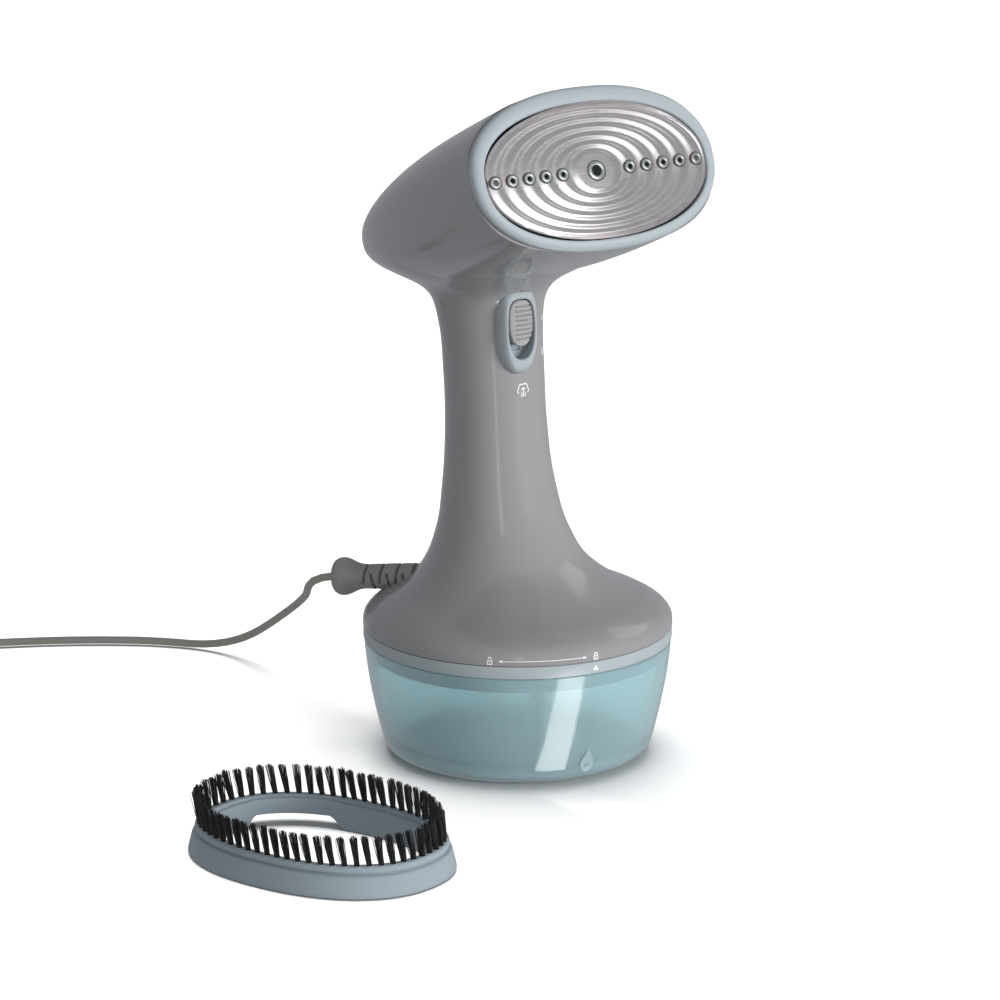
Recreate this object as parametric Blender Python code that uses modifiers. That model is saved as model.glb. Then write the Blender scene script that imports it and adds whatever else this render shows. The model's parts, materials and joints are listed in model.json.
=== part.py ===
"""Handheld garment steamer with its water tank, brush attachment and mains cord.

Sizes are in millimetres here and are scaled to metres where a mesh is made.
+Z is up, the origin is the centre of the tank's foot, and the steam face looks towards -Y.
"""

import math

import bmesh
import bpy
import numpy as np
from mathutils import Matrix, Vector

MM = 0.001
GAP = 0.3
TURN = 2.0 * math.pi

# ---------------------------------------------------------------- driving dimensions
WALL = 2.4
RIM_BOTTOM_Z = 55.3

# neck and skirt of the housing: height, how far its centre stands back, radius
NECK_STATIONS = [
    (RIM_BOTTOM_Z, 0.0, 65.0),
    (59.5, 0.0, 64.3),
    (62.0, 0.0, 62.2),
    (65.5, 0.5, 56.4),
    (70.0, 3.0, 46.6),
    (78.0, 8.7, 36.3),
    (92.0, 12.6, 28.4),
    (112.0, 16.1, 23.8),
    (138.0, 18.5, 21.4),
    (160.0, 20.4, 21.2),
    (180.0, 22.9, 21.9),
    (191.0, 25.0, 24.0),
    (200.0, 26.0, 29.5),
    (208.0, 27.0, 38.0),
]

# steam face: centre, tilt of its normal above the horizontal, oval sizes
FACE_CENTRE = Vector((0.0, -63.9, 261.0))
FACE_TILT = math.radians(24.4)
PLATE_HALF = (50.4, 27.5)
PLATE_POWER = 2.1
BEZEL_HALF = (56.0, 33.9)
BEZEL_RISE = 1.5
BEZEL_POWER = 2.25
BEZEL_DEPTH = 9.0
NOZZLE_UNIT = 7.77
NOZZLE_STEPS = (2, 3, 4, 5, 6)
NIPPLE_AT = (14.0, -14.0)
BOILER_SCREW_X = 24.0

# head behind the face: an oval that shrinks along a gently sagging line
HEAD_LENGTH = 159.0
HEAD_HALF = (55.6, 33.0)
HEAD_END_TILT = math.radians(18.1)
HEAD_POWER = 2.6
HEAD_START = 0.04

# removable cover on the back of the neck, cut out by a leaning box
COVER_PLANE_Y = 35.1
COVER_MIDDLE_Z = 135.5
COVER_HEIGHT = 103.0
COVER_LEAN = math.radians(-4.0)

# trigger on the front of the neck
TRIGGER_AT = Vector((0.0, 0.4, 178.0))
TRIGGER_LEAN = math.radians(4.0)
TRIGGER_FRAME_HALF = (8.9, 18.0)
TRIGGER_OPENING_HALF = (6.3, 12.4)
PAD_HALF = (5.7, 9.3)
PAD_RISE = 2.2

# pump in the foot of the neck
PUMP_AT = (0.0, 12.0)
PUMP_LOW = 88.0
PUMP_HIGH = 114.0

# tank and its bayonet collar
TANK_TOP_Z = 49.3
TANK_TOP_R = 64.4
TANK_DRAW_IN = 9.4
TANK_FOOT_R = 46.0
TANK_WALL = 2.2
COLLAR_R = 64.8
SPIGOT_R = 50.0
BAYONET_COUNT = 3
BAYONET_SPREAD = math.radians(31.0)

# strain relief: leaves the back of the skirt radially
RELIEF_ROOT = Vector((0.0, 0.0, 74.2))
RELIEF_AXIS = Vector((-0.626, 0.773, -0.101)).normalized()
RELIEF_END = 83.0

# brush attachment, lying on the floor beside the steamer
BRUSH_AT = Vector((-140.0, -86.0, 0.0))
BRUSH_TURN = math.radians(-66.0)
BRUSH_FOOT_HALF = (58.6, 42.6)
BRUSH_TUFT_HALF = (54.0, 38.1)
BRUSH_HEIGHT = 12.5
TUFT_HEIGHT = 12.5
BRUSH_POWER = 2.25
ARCH_FROM, ARCH_TO, ARCH_RISE = 100.0, 165.0, 4.8

# mains cord
CORD_R = 1.7
CORD_ROUTE = [
    (-52.3, 64.6, 65.7),
    (-54.6, 68.0, 65.0),
    (-56.9, 75.5, 61.5),
    (-55.2, 84.5, 56.1),
    (-50.0, 98.0, 48.2),
    (-46.5, 112.0, 40.0),
    (-43.2, 128.0, 30.8),
    (-40.0, 144.0, 21.6),
    (-37.2, 158.0, 13.6),
    (-35.0, 171.0, 6.9),
    (-35.0, 182.0, 3.0),
    (-39.0, 191.5, 1.9),
    (-48.0, 199.5, 1.9),
    (-62.0, 208.5, 1.9),
    (-80.0, 218.0, 1.9),
    (-100.0, 226.5, 1.9),
    (-120.0, 233.8, 1.9),
    (-141.5, 240.7, 1.9),
]
COIL_CENTRE = Vector((-146.6, 269.7, 0.0))
COIL_INNER_TURN = 13.7
COIL_OUTER_TURN = 25.95
COIL_PITCH = 3.5
COIL_ROWS = 4
COIL_TAIL = 22.0
PLUG_HEADING = Vector((-0.8686, 0.4955, 0.0))
PLUG_BODY = (30.0, 26.0, 16.6)
PLUG_AXIS_Z = 8.6


# ---------------------------------------------------------------- scene and materials
def clear_scene():
    for thing in list(bpy.data.objects):
        bpy.data.objects.remove(thing, do_unlink=True)


def new_collection(name):
    made = bpy.data.collections.new(name)
    bpy.context.scene.collection.children.link(made)
    return made


clear_scene()
PARTS = new_collection("handheld_steamer")
CUTTERS = new_collection("cutters")


def make_material(name, colour, roughness, metallic=0.0, alpha=1.0):
    made = bpy.data.materials.new(name)
    made.use_nodes = True
    shader = made.node_tree.nodes["Principled BSDF"]
    shader.inputs["Base Color"].default_value = (*colour, 1.0)
    shader.inputs["Roughness"].default_value = roughness
    shader.inputs["Metallic"].default_value = metallic
    shader.inputs["Alpha"].default_value = alpha
    return made


GREY_SHELL = make_material("grey_shell", (0.25, 0.25, 0.26), 0.25)
PALE_TRIM = make_material("pale_blue_trim", (0.42, 0.49, 0.53), 0.4)
BRIGHT_STEEL = make_material("bright_steel", (0.72, 0.70, 0.70), 0.22, 1.0)
CAST_ALLOY = make_material("cast_alloy", (0.55, 0.56, 0.57), 0.5, 1.0)
TEAL_TANK = make_material("teal_tank", (0.25, 0.46, 0.50), 0.12, 0.0, 0.45)
GREY_PAD = make_material("grey_pad", (0.34, 0.34, 0.35), 0.45)
SILICONE = make_material("silicone", (0.75, 0.74, 0.70), 0.55)
DARK_PLASTIC = make_material("dark_plastic", (0.05, 0.05, 0.055), 0.45)
COPPER = make_material("copper_winding", (0.70, 0.33, 0.16), 0.35, 1.0)
ZINC_SCREW = make_material("zinc_screw", (0.60, 0.60, 0.62), 0.35, 1.0)
RELIEF_GREY = make_material("relief_grey", (0.09, 0.10, 0.09), 0.6)
CORD_GREY = make_material("cord_grey", (0.11, 0.11, 0.085), 0.5)
BRISTLE_BLACK = make_material("bristle_black", (0.015, 0.015, 0.015), 0.6)
BRASS = make_material("brass", (0.75, 0.58, 0.28), 0.3, 1.0)


# ---------------------------------------------------------------- making objects
def link(name, data, material, collection=PARTS):
    made = bpy.data.objects.new(name, data)
    collection.objects.link(made)
    if material is not None:
        data.materials.append(material)
    if collection is CUTTERS:
        made.hide_render = True
        made.display_type = "WIRE"
    return made


def place(thing, at=(0.0, 0.0, 0.0), turn=None):
    """Puts an object at a point in millimetres, turned by a rotation matrix."""
    rotation = Matrix.Identity(3) if turn is None else turn
    thing.matrix_world = Matrix.Translation(Vector(at) * MM) @ rotation.to_4x4()
    return thing


def smooth(thing, angle=35.0):
    thing.data.shade_smooth()
    thing.data.set_sharp_from_angle(angle=math.radians(angle))
    return thing


def from_bmesh(name, shape, material, collection=PARTS):
    bmesh.ops.recalc_face_normals(shape, faces=shape.faces)
    bmesh.ops.scale(shape, verts=shape.verts, vec=(MM, MM, MM))
    data = bpy.data.meshes.new(name)
    shape.to_mesh(data)
    shape.free()
    return smooth(link(name, data, material, collection))


def box(name, size, centre, material, collection=PARTS, bevel=0.0):
    shape = bmesh.new()
    bmesh.ops.create_cube(shape, size=1.0)
    bmesh.ops.scale(shape, verts=shape.verts, vec=size)
    bmesh.ops.translate(shape, verts=shape.verts, vec=centre)
    if bevel > 0.0:
        bmesh.ops.bevel(shape, geom=shape.edges[:], offset=bevel, segments=2,
                        profile=0.5, affect="EDGES")
    return from_bmesh(name, shape, material, collection)


def cylinder(name, radius, low, high, material, collection=PARTS, sides=24, at=(0.0, 0.0)):
    shape = bmesh.new()
    bmesh.ops.create_cone(shape, cap_ends=True, segments=sides,
                          radius1=radius, radius2=radius, depth=high - low)
    bmesh.ops.translate(shape, verts=shape.verts, vec=(at[0], at[1], (low + high) / 2.0))
    return from_bmesh(name, shape, material, collection)


def loft(name, loops, material, ring=False, collection=PARTS):
    """Skin through loops of equal length; a ring also joins the last loop to the first."""
    shape = bmesh.new()
    rows = [[shape.verts.new(point) for point in loop] for loop in loops]
    count = len(loops[0])
    pairs = list(zip(rows, rows[1:]))
    if ring:
        pairs.append((rows[-1], rows[0]))
    for first, second in pairs:
        for i in range(count):
            j = (i + 1) % count
            shape.faces.new((first[i], first[j], second[j], second[i]))
    if not ring:
        shape.faces.new(rows[0])
        shape.faces.new(rows[-1])
    return from_bmesh(name, shape, material, collection)


def turned(name, profile, material, steps=40, closed=False, collection=PARTS):
    """Revolves a profile of (radius, height) points, drawn down its outer side, about Z."""
    data = bpy.data.meshes.new(name)
    points = [(r * MM, 0.0, z * MM) for r, z in profile]
    edges = [(i, i + 1) for i in range(len(points) - 1)
             if profile[i][0] > 0.0 or profile[i + 1][0] > 0.0]
    if closed:
        edges.append((len(points) - 1, 0))
    data.from_pydata(points, edges, [])
    made = link(name, data, material, collection)
    screw = made.modifiers.new("turn", "SCREW")
    screw.axis = "Z"
    screw.angle = TURN
    screw.steps = steps
    screw.render_steps = steps
    screw.use_merge_vertices = True
    screw.merge_threshold = 0.00001
    screw.use_smooth_shade = True
    return made


def tube(name, points, radius, material, sides_level=2):
    data = bpy.data.curves.new(name, "CURVE")
    data.dimensions = "3D"
    data.bevel_depth = radius * MM
    data.bevel_resolution = sides_level
    data.use_fill_caps = True
    line = data.splines.new("POLY")
    line.points.add(len(points) - 1)
    for spot, point in zip(line.points, points):
        spot.co = (*(Vector(point) * MM), 1.0)
    return link(name, data, material)


def cut(target, cutter, operation="DIFFERENCE"):
    change = target.modifiers.new(cutter.name, "BOOLEAN")
    change.operation = operation
    change.object = cutter
    change.solver = "EXACT"
    return target


def settle(thing):
    """Replaces an object's mesh by its evaluated one, so that it can be cut again or copied."""
    shape = bpy.data.meshes.new_from_object(
        thing.evaluated_get(bpy.context.evaluated_depsgraph_get()))
    thing.modifiers.clear()
    thing.data = shape
    return thing


# ---------------------------------------------------------------- curves and sections
def oval(half_x, half_y, z=0.0, rise=0.0, power=2.0, count=40):
    """Superellipse in the XY plane at height z, its centre moved by rise along Y."""
    points = []
    for i in range(count):
        angle = TURN * i / count
        c, s = math.cos(angle), math.sin(angle)
        x = half_x * math.copysign(abs(c) ** (2.0 / power), c)
        y = half_y * math.copysign(abs(s) ** (2.0 / power), s)
        points.append(Vector((x, y + rise, z)))
    return points


def through(stations, where):
    """Smooth value between stations of (place, value, value ...)."""
    table = np.array(stations, float)
    at, values = table[:, 0], table[:, 1:]
    slopes = np.gradient(values, at, axis=0)
    i = int(np.clip(np.searchsorted(at, where) - 1, 0, len(at) - 2))
    span = at[i + 1] - at[i]
    t = (where - at[i]) / span
    start = values[i] * (2 * t**3 - 3 * t**2 + 1) + slopes[i] * span * (t**3 - 2 * t**2 + t)
    end = values[i + 1] * (3 * t**2 - 2 * t**3) + slopes[i + 1] * span * (t**3 - t**2)
    return start + end


def curve_through(points, spacing):
    """Evenly spaced points on a Catmull-Rom curve through the given ones."""
    line = np.array(points, float)
    ends = np.vstack([2 * line[0] - line[1], line, 2 * line[-1] - line[-2]])
    fine = []
    for i in range(1, len(ends) - 2):
        p0, p1, p2, p3 = ends[i - 1 : i + 3]
        for t in np.linspace(0.0, 1.0, 24, endpoint=False):
            fine.append(0.5 * (2 * p1 + (p2 - p0) * t + (2 * p0 - 5 * p1 + 4 * p2 - p3) * t**2
                               + (3 * p1 - p0 - 3 * p2 + p3) * t**3))
    fine.append(line[-1])
    fine = np.array(fine)
    run = np.concatenate([[0.0], np.cumsum(np.linalg.norm(np.diff(fine, axis=0), axis=1))])
    count = max(2, int(round(run[-1] / spacing)) + 1)
    even = np.linspace(0.0, run[-1], count)
    return [Vector([np.interp(s, run, fine[:, k]) for k in range(3)]) for s in even]


def frame_from(x_axis, y_axis, z_axis):
    return Matrix((x_axis, y_axis, z_axis)).transposed()


FACE_TURN = Matrix.Rotation(math.pi / 2.0 - FACE_TILT, 3, "X")
TRIGGER_TURN = Matrix.Rotation(math.pi / 2.0 - TRIGGER_LEAN, 3, "X")


def on_face(thing):
    return place(thing, FACE_CENTRE, FACE_TURN)


def at_trigger(thing):
    return place(thing, TRIGGER_AT, TRIGGER_TURN)


# ---------------------------------------------------------------- housing
NECK_LEVELS = (55.3, 59.5, 62.0, 65.5, 70.0, 76.0, 84.0, 96.0, 114.0, 138.0, 162.0, 180.0,
               190.0, 199.0, 207.0)
HEAD_LEVELS = (HEAD_START, 0.2, 0.36, 0.5, 0.62, 0.74, 0.84, 0.91, 0.96, 0.99)
SHELL_SIDES = 28


def neck_loop(level, inset, count=SHELL_SIDES):
    back, radius = through(NECK_STATIONS, level)
    return [Vector((p.x, p.y + back, level))
            for p in oval(radius - inset, radius - inset, count=count)]


def head_loop(part_way, inset, count=SHELL_SIDES):
    """Section of the head, from 0 at the face to 1 at its blunt back end."""
    tilt = FACE_TILT * (1.0 - part_way) + HEAD_END_TILT * part_way
    lie = (FACE_TILT + tilt) / 2.0
    start = FACE_CENTRE + Vector((0.0, math.cos(FACE_TILT), -math.sin(FACE_TILT))) * 3.0
    centre = start + Vector((0.0, math.cos(lie), -math.sin(lie))) * HEAD_LENGTH * part_way
    half_x = HEAD_HALF[0] * max(1.0 - part_way**2.06, 0.0) ** 0.30 - inset
    half_y = HEAD_HALF[1] * max(1.0 - part_way**2.88, 0.0) ** 0.737 - inset
    up = Vector((0.0, math.sin(tilt), math.cos(tilt)))
    side = Vector((1.0, 0.0, 0.0))
    rise = BEZEL_RISE * (1.0 - part_way)
    return [centre + side * p.x + up * (p.y + rise)
            for p in oval(max(half_x, 0.8), max(half_y, 0.8), power=HEAD_POWER, count=count)]


def make_housing():
    outer = loft("housing_outer", [neck_loop(z, 0.0) for z in NECK_LEVELS], GREY_SHELL)
    head = loft("head_outer", [head_loop(s, 0.0) for s in HEAD_LEVELS], None, collection=CUTTERS)
    cut(outer, head, "UNION")

    below = [p - Vector((0.0, 0.0, 3.0)) for p in neck_loop(RIM_BOTTOM_Z, WALL)]
    inner = loft("housing_hollow", [below] + [neck_loop(z, WALL) for z in NECK_LEVELS[1:]],
                 None, collection=CUTTERS)
    mouth = [p + Vector((0.0, -math.cos(FACE_TILT), math.sin(FACE_TILT))) * 12.0
             for p in head_loop(HEAD_START, WALL)]
    head_hollow = loft("head_hollow",
                       [mouth] + [head_loop(s, WALL) for s in HEAD_LEVELS[:-1]],
                       None, collection=CUTTERS)
    cut(inner, head_hollow, "UNION")
    for i, (x, y) in enumerate(base_screw_spots()):
        cut(inner, cylinder(f"base_post_{i}", 3.4, 60.4, 110.0, None, CUTTERS, 12, (x, y)))
    for i, spot in enumerate(cover_screw_spots()):
        post = cylinder(f"cover_post_{i}", 3.2, -60.0, 9.0, None, CUTTERS, 12)
        cut(inner, place(post, spot, Matrix.Rotation(-math.pi / 2.0, 3, "X")))
    settle(inner)
    cut(outer, inner)
    for i, (x, y) in enumerate(base_screw_spots()):
        cut(outer, cylinder(f"base_hole_{i}", 1.5, 55.0, 68.0, None, CUTTERS, 10, (x, y)))
    for i, spot in enumerate(cover_screw_spots()):
        hole = cylinder(f"cover_hole_{i}", 1.5, -12.0, 4.0, None, CUTTERS, 10)
        cut(outer, place(hole, spot, Matrix.Rotation(-math.pi / 2.0, 3, "X")))
    trigger_hole = loft("trigger_hole", [oval(TRIGGER_FRAME_HALF[0] + GAP,
                                              TRIGGER_FRAME_HALF[1] + GAP, z, power=3.0)
                                         for z in (-9.0, 9.0)], None, collection=CUTTERS)
    cut(outer, at_trigger(trigger_hole))
    settle(outer)
    outer.name = "front_shell"

    cover = link("rear_cover", outer.data.copy(), None)
    region = box("cover_region", (160.0, 80.0, COVER_HEIGHT - 2.0 * GAP), (0.0, 40.0, 0.0), None,
                 CUTTERS)
    wider = box("cover_space", (160.0, 80.0, COVER_HEIGHT), (0.0, 40.0, 0.0), None, CUTTERS)
    lean = Matrix.Rotation(COVER_LEAN, 3, "X")
    place(region, (0.0, COVER_PLANE_Y + GAP, COVER_MIDDLE_Z), lean)
    place(wider, (0.0, COVER_PLANE_Y, COVER_MIDDLE_Z), lean)
    cut(cover, region, "INTERSECT")
    cut(outer, wider)
    relief_hole = cylinder("relief_hole", 6.4, 30.0, 70.0, None, CUTTERS, 16)
    cut(outer, along_relief(relief_hole))
    for i, spot in enumerate(cover_screw_spots()):
        sink = cylinder(f"cover_sink_{i}", 2.9, 0.0, 30.0, None, CUTTERS, 12)
        cut(cover, place(sink, spot, Matrix.Rotation(-math.pi / 2.0, 3, "X")))
    return outer, cover


def base_screw_spots():
    return [(42.0 * math.cos(math.radians(a)), 42.0 * math.sin(math.radians(a)))
            for a in (-87.0, 18.0, 163.0)]


def cover_screw_spots():
    """Where each cover screw's seat meets the outside of the rear cover."""
    return [(0.0, 38.6, 150.0), (15.0, 34.4, 92.0), (-15.0, 34.4, 92.0)]


def along_relief(thing):
    turn = RELIEF_AXIS.to_track_quat("Z", "Y").to_matrix()
    return place(thing, RELIEF_ROOT, turn)


def screw_piece(name, at, turn, length, shank=1.25, head=2.5, head_height=1.6):
    """Pan-head screw whose shank runs along -Z from the underside of its head."""
    made = turned(name, [(0.0, head_height), (head * 0.7, head_height), (head, head_height * 0.45),
                         (head, 0.0), (shank, 0.0), (shank, -length + 1.0), (0.0, -length)],
                  ZINC_SCREW, steps=8)
    return place(made, at, turn)


def make_screws():
    down = Matrix.Rotation(math.pi, 3, "X")
    for i, (x, y) in enumerate(base_screw_spots()):
        screw_piece(f"base_screw_{i + 1}", (x, y, 57.1), down, 9.0)
    out = Matrix.Rotation(-math.pi / 2.0, 3, "X")
    for i, (x, y, z) in enumerate(cover_screw_spots()):
        screw_piece(f"cover_screw_{i + 1}", (x, y + GAP, z), out, 10.0)
    back = FACE_TURN @ Matrix.Rotation(math.pi, 3, "X")
    for side, x in (("left", -BOILER_SCREW_X), ("right", BOILER_SCREW_X)):
        spot = FACE_CENTRE + FACE_TURN @ Vector((x, 0.0, -24.6))
        screw_piece(f"boiler_screw_{side}", spot, back, 9.5)


# ---------------------------------------------------------------- steam face and boiler
def make_face():
    outer, rise = BEZEL_HALF, BEZEL_RISE
    section = [
        (outer[0] - 0.6, outer[1] - 0.7, -BEZEL_DEPTH, rise),
        (outer[0], outer[1], -5.2, rise),
        (outer[0] - 0.9, outer[1] - 0.9, -1.8, rise),
        (outer[0] - 2.9, outer[1] - 3.0, 0.6, rise * 0.7),
        (PLATE_HALF[0] + 1.2, PLATE_HALF[1] + 1.4, 0.6, rise * 0.3),
        (PLATE_HALF[0] + 0.4, PLATE_HALF[1] + 0.4, -0.5, 0.0),
        (PLATE_HALF[0] + 0.4, PLATE_HALF[1] + 0.4, -BEZEL_DEPTH, 0.0),
    ]
    loops = [oval(a, b, z, up, BEZEL_POWER, 40) for a, b, z, up in section]
    on_face(loft("face_bezel", loops, PALE_TRIM, ring=True))

    plate = loft("steam_plate", [oval(*PLATE_HALF, z, power=PLATE_POWER, count=40)
                                 for z in (-2.0, -0.4)], BRIGHT_STEEL)
    for i, (x, bore, flange) in enumerate(nozzle_list()):
        cut(plate, on_face(cylinder(f"nozzle_hole_{i}", bore + 1.0 + GAP, -6.0, 4.0, None,
                                    CUTTERS, 10, (x, 0.0))))
    on_face(plate)
    names = ["centre_nozzle"]
    names += [f"nozzle_left_{i + 1}" for i in range(len(NOZZLE_STEPS))]
    names += [f"nozzle_right_{i + 1}" for i in range(len(NOZZLE_STEPS))]
    for name, (x, bore, flange) in zip(names, nozzle_list()):
        eyelet = turned(name, [(flange, 0.35), (flange, -0.08), (bore + 1.0, -0.08),
                               (bore + 1.0, -2.2), (bore, -2.2), (bore, 0.35)],
                        BRIGHT_STEEL, steps=10, closed=True)
        spot = FACE_CENTRE + FACE_TURN @ Vector((x, 0.0, 0.0))
        place(eyelet, spot, FACE_TURN)


def nozzle_list():
    """(place along the plate, bore radius, flange radius) of each steam outlet."""
    small = [(-step * NOZZLE_UNIT, 0.9, 2.4) for step in NOZZLE_STEPS]
    small += [(step * NOZZLE_UNIT, 0.9, 2.4) for step in NOZZLE_STEPS]
    return [(0.0, 2.0, 3.8)] + small


def make_boiler():
    gasket = [oval(a, b, z, power=PLATE_POWER, count=32)
              for a, b, z in ((49.4, 26.5, -2.4), (49.4, 26.5, -3.8),
                              (45.2, 22.3, -3.8), (45.2, 22.3, -2.4))]
    on_face(loft("plate_gasket", gasket, SILICONE, ring=True))

    chamber = loft("steam_chamber", [oval(49.0, 26.1, z, power=PLATE_POWER, count=32)
                                      for z in (-16.0, -4.1)],
                   CAST_ALLOY)
    cut(chamber, on_face(loft("chamber_hollow", [oval(45.0, 22.0, z, power=PLATE_POWER,
                                                     count=32)
                                                 for z in (-12.5, 4.0)], None, collection=CUTTERS)))
    cut(chamber, on_face(cylinder("inlet_nipple", 2.6, -22.0, -14.0, None, CUTTERS, 16,
                                  NIPPLE_AT)), "UNION")
    cut(chamber, on_face(cylinder("inlet_bore", 1.2, -30.0, 0.0, None, CUTTERS, 12, NIPPLE_AT)))
    for i, x in enumerate((-BOILER_SCREW_X, BOILER_SCREW_X)):
        cut(chamber, on_face(cylinder(f"boiler_hole_{i}", 1.6, -20.0, -13.6, None, CUTTERS, 12,
                                      (x, 0.0))))
    on_face(chamber)

    bend = [(-33.0, -9.0, -27.5), (-33.0, -8.4, -22.5), (-31.0, -6.0, -19.0), (-20.0, 12.5, -19.0),
            (0.0, 14.5, -19.0), (20.0, 12.5, -19.0), (31.0, -6.0, -19.0), (33.0, -8.4, -22.5),
            (33.0, -9.0, -27.5)]
    element = tube("heating_element", curve_through(bend, 6.0), 2.6, CAST_ALLOY)
    on_face(element)

    clamp = loft("boiler_cover", [oval(29.0, 9.5, z, power=2.6, count=28) for z in (-24.2, -22.2)],
                 BRIGHT_STEEL)
    for i, x in enumerate((-BOILER_SCREW_X, BOILER_SCREW_X)):
        cut(clamp, on_face(cylinder(f"clamp_hole_{i}", 1.6, -30.0, -18.0, None, CUTTERS, 12,
                                    (x, 0.0))))
    cut(clamp, on_face(cylinder("clamp_relief", 4.2, -30.0, -18.0, None, CUTTERS, 16, NIPPLE_AT)))
    on_face(clamp)

    thermostat = cylinder("thermostat", 6.0, -29.8, -24.5, DARK_PLASTIC, at=(-9.0, 0.0), sides=20)
    on_face(thermostat)


# ---------------------------------------------------------------- trigger and switch
def make_trigger():
    a, b = TRIGGER_FRAME_HALF
    c, d = TRIGGER_OPENING_HALF
    section = [(a, b, -4.6), (a, b, 0.6), (a - 0.9, b - 0.9, 1.7), (c + 1.0, d + 1.0, 1.9),
               (c, d, 1.2), (c, d, -4.6)]
    loops = [oval(p, q, z, power=3.0, count=28) for p, q, z in section]
    at_trigger(loft("trigger_bezel", loops, PALE_TRIM, ring=True))

    pad = loft("trigger", [oval(PAD_HALF[0] - t, PAD_HALF[1] - t, z, PAD_RISE, 3.0, 28)
                           for t, z in ((0.0, -4.2), (0.0, 0.7), (0.5, 1.9))], GREY_PAD)
    cut(pad, at_trigger(box("trigger_stem", (4.0, 4.0, 10.6), (0.0, PAD_RISE, -8.7), None, CUTTERS)),
        "UNION")
    foot = box("trigger_foot", (3.6, 9.6, 1.2), (0.0, PAD_RISE + 3.2, -13.5), None, CUTTERS)
    cut(pad, at_trigger(foot), "UNION")
    at_trigger(pad)

    slider = box("trigger_lock_slider", (14.0, 25.0, 1.6), (0.0, 0.8, -11.2), DARK_PLASTIC)
    cut(slider, at_trigger(box("slider_window", (4.7, 4.7, 8.0), (0.0, PAD_RISE, -11.2), None,
                               CUTTERS)))
    at_trigger(slider)

    turns, mean_r, low, high = 3.5, 3.7, -9.9, -4.9
    coil = [(mean_r * math.cos(TURN * turns * t), PAD_RISE + mean_r * math.sin(TURN * turns * t),
             low + (high - low) * t) for t in np.linspace(0.0, 1.0, 29)]
    at_trigger(tube("trigger_spring", coil, 0.32, BRIGHT_STEEL, 0))

    switch = box("steam_switch", (6.4, 20.0, 10.4), (0.0, PAD_RISE, -24.0), DARK_PLASTIC, bevel=0.5)
    cut(switch, at_trigger(cylinder("plunger_bore", 1.6, -23.4, -10.0, None, CUTTERS, 16,
                                    (0.0, PAD_RISE))))
    at_trigger(switch)
    plunger = cylinder("switch_plunger", 1.3, -19.6, -14.3, GREY_PAD, sides=16, at=(0.0, PAD_RISE))
    at_trigger(plunger)


# ---------------------------------------------------------------- pump, hoses and base
def make_pump():
    x, y = PUMP_AT
    bore = 4.6
    body = turned("pump_body", [(1.4, PUMP_HIGH + 10.0), (2.8, PUMP_HIGH + 10.0),
                                (2.8, PUMP_HIGH), (7.0, PUMP_HIGH), (7.0, PUMP_LOW),
                                (bore, PUMP_LOW), (bore, PUMP_HIGH - 4.0),
                                (1.4, PUMP_HIGH - 4.0)], DARK_PLASTIC, 16, closed=True)
    place(body, (x, y, 0.0))
    coil = turned("pump_coil", [(10.6, PUMP_HIGH - 3.0), (10.6, PUMP_LOW + 4.0),
                                (7.0 + GAP, PUMP_LOW + 4.0), (7.0 + GAP, PUMP_HIGH - 3.0)],
                  COPPER, 20, closed=True)
    place(coil, (x, y, 0.0))
    cap = turned("pump_inlet", [(1.4, PUMP_LOW - GAP), (7.0, PUMP_LOW - GAP), (7.0, PUMP_LOW - 2.2),
                                (2.8, PUMP_LOW - 2.2), (2.8, PUMP_LOW - 8.0), (1.4, PUMP_LOW - 8.0)],
                 DARK_PLASTIC, 16, closed=True)
    place(cap, (x, y, 0.0))
    piston = turned("pump_piston", [(1.2, PUMP_LOW + 14.0), (bore - GAP, PUMP_LOW + 14.0),
                                    (bore - GAP, PUMP_LOW + 2.0), (1.2, PUMP_LOW + 2.0)],
                    BRIGHT_STEEL, 16, closed=True)
    place(piston, (x, y, 0.0))
    turns, mean_r, low, high = 4.0, 3.2, PUMP_LOW + 14.7, PUMP_HIGH - 4.6
    helix = [(x + mean_r * math.cos(TURN * turns * t), y + mean_r * math.sin(TURN * turns * t),
              low + (high - low) * t) for t in np.linspace(0.0, 1.0, 33)]
    tube("pump_spring", helix, 0.35, BRIGHT_STEEL, 0)


def make_hoses():
    x, y = PUMP_AT
    low = [(0.0, 0.0, 66.4), (0.0, 0.3, 68.6), (0.0, 6.0, 73.0), (0.0, y - 0.3, 77.4), (x, y, 79.6)]
    tube("inlet_hose", curve_through(low, 2.0), 2.6, SILICONE)
    nipple = FACE_CENTRE + FACE_TURN @ Vector((NIPPLE_AT[0], NIPPLE_AT[1], -22.3))
    behind = FACE_CENTRE + FACE_TURN @ Vector((NIPPLE_AT[0], NIPPLE_AT[1], -32.0))
    rise = [(x, y, PUMP_HIGH + 10.9), (x, y, 129.0), (6.0, 15.5, 140.0),
            (10.5, 21.0, 152.0), (11.5, 24.0, 175.0), (12.5, 23.0, 196.0), (14.0, 8.0, 215.0),
            tuple(behind), tuple(nipple)]
    tube("outlet_hose", curve_through(rise, 8.0), 2.4, SILICONE)
    dip = [(0.0, 0.0, 49.6), (0.0, -0.4, 44.0), (0.0, -8.0, 33.0), (0.0, -21.0, 24.0),
           (0.0, -24.0, 17.0), (0.0, -24.0, 13.5)]
    tube("pickup_hose", curve_through(dip, 5.0), 2.4, SILICONE)
    strainer = turned("pickup_filter", [(0.0, 13.0), (4.2, 13.0), (6.4, 11.0), (6.4, 3.2), (0.0, 3.2)],
                      PALE_TRIM, 16)
    place(strainer, (0.0, -24.0, 0.0))


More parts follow.
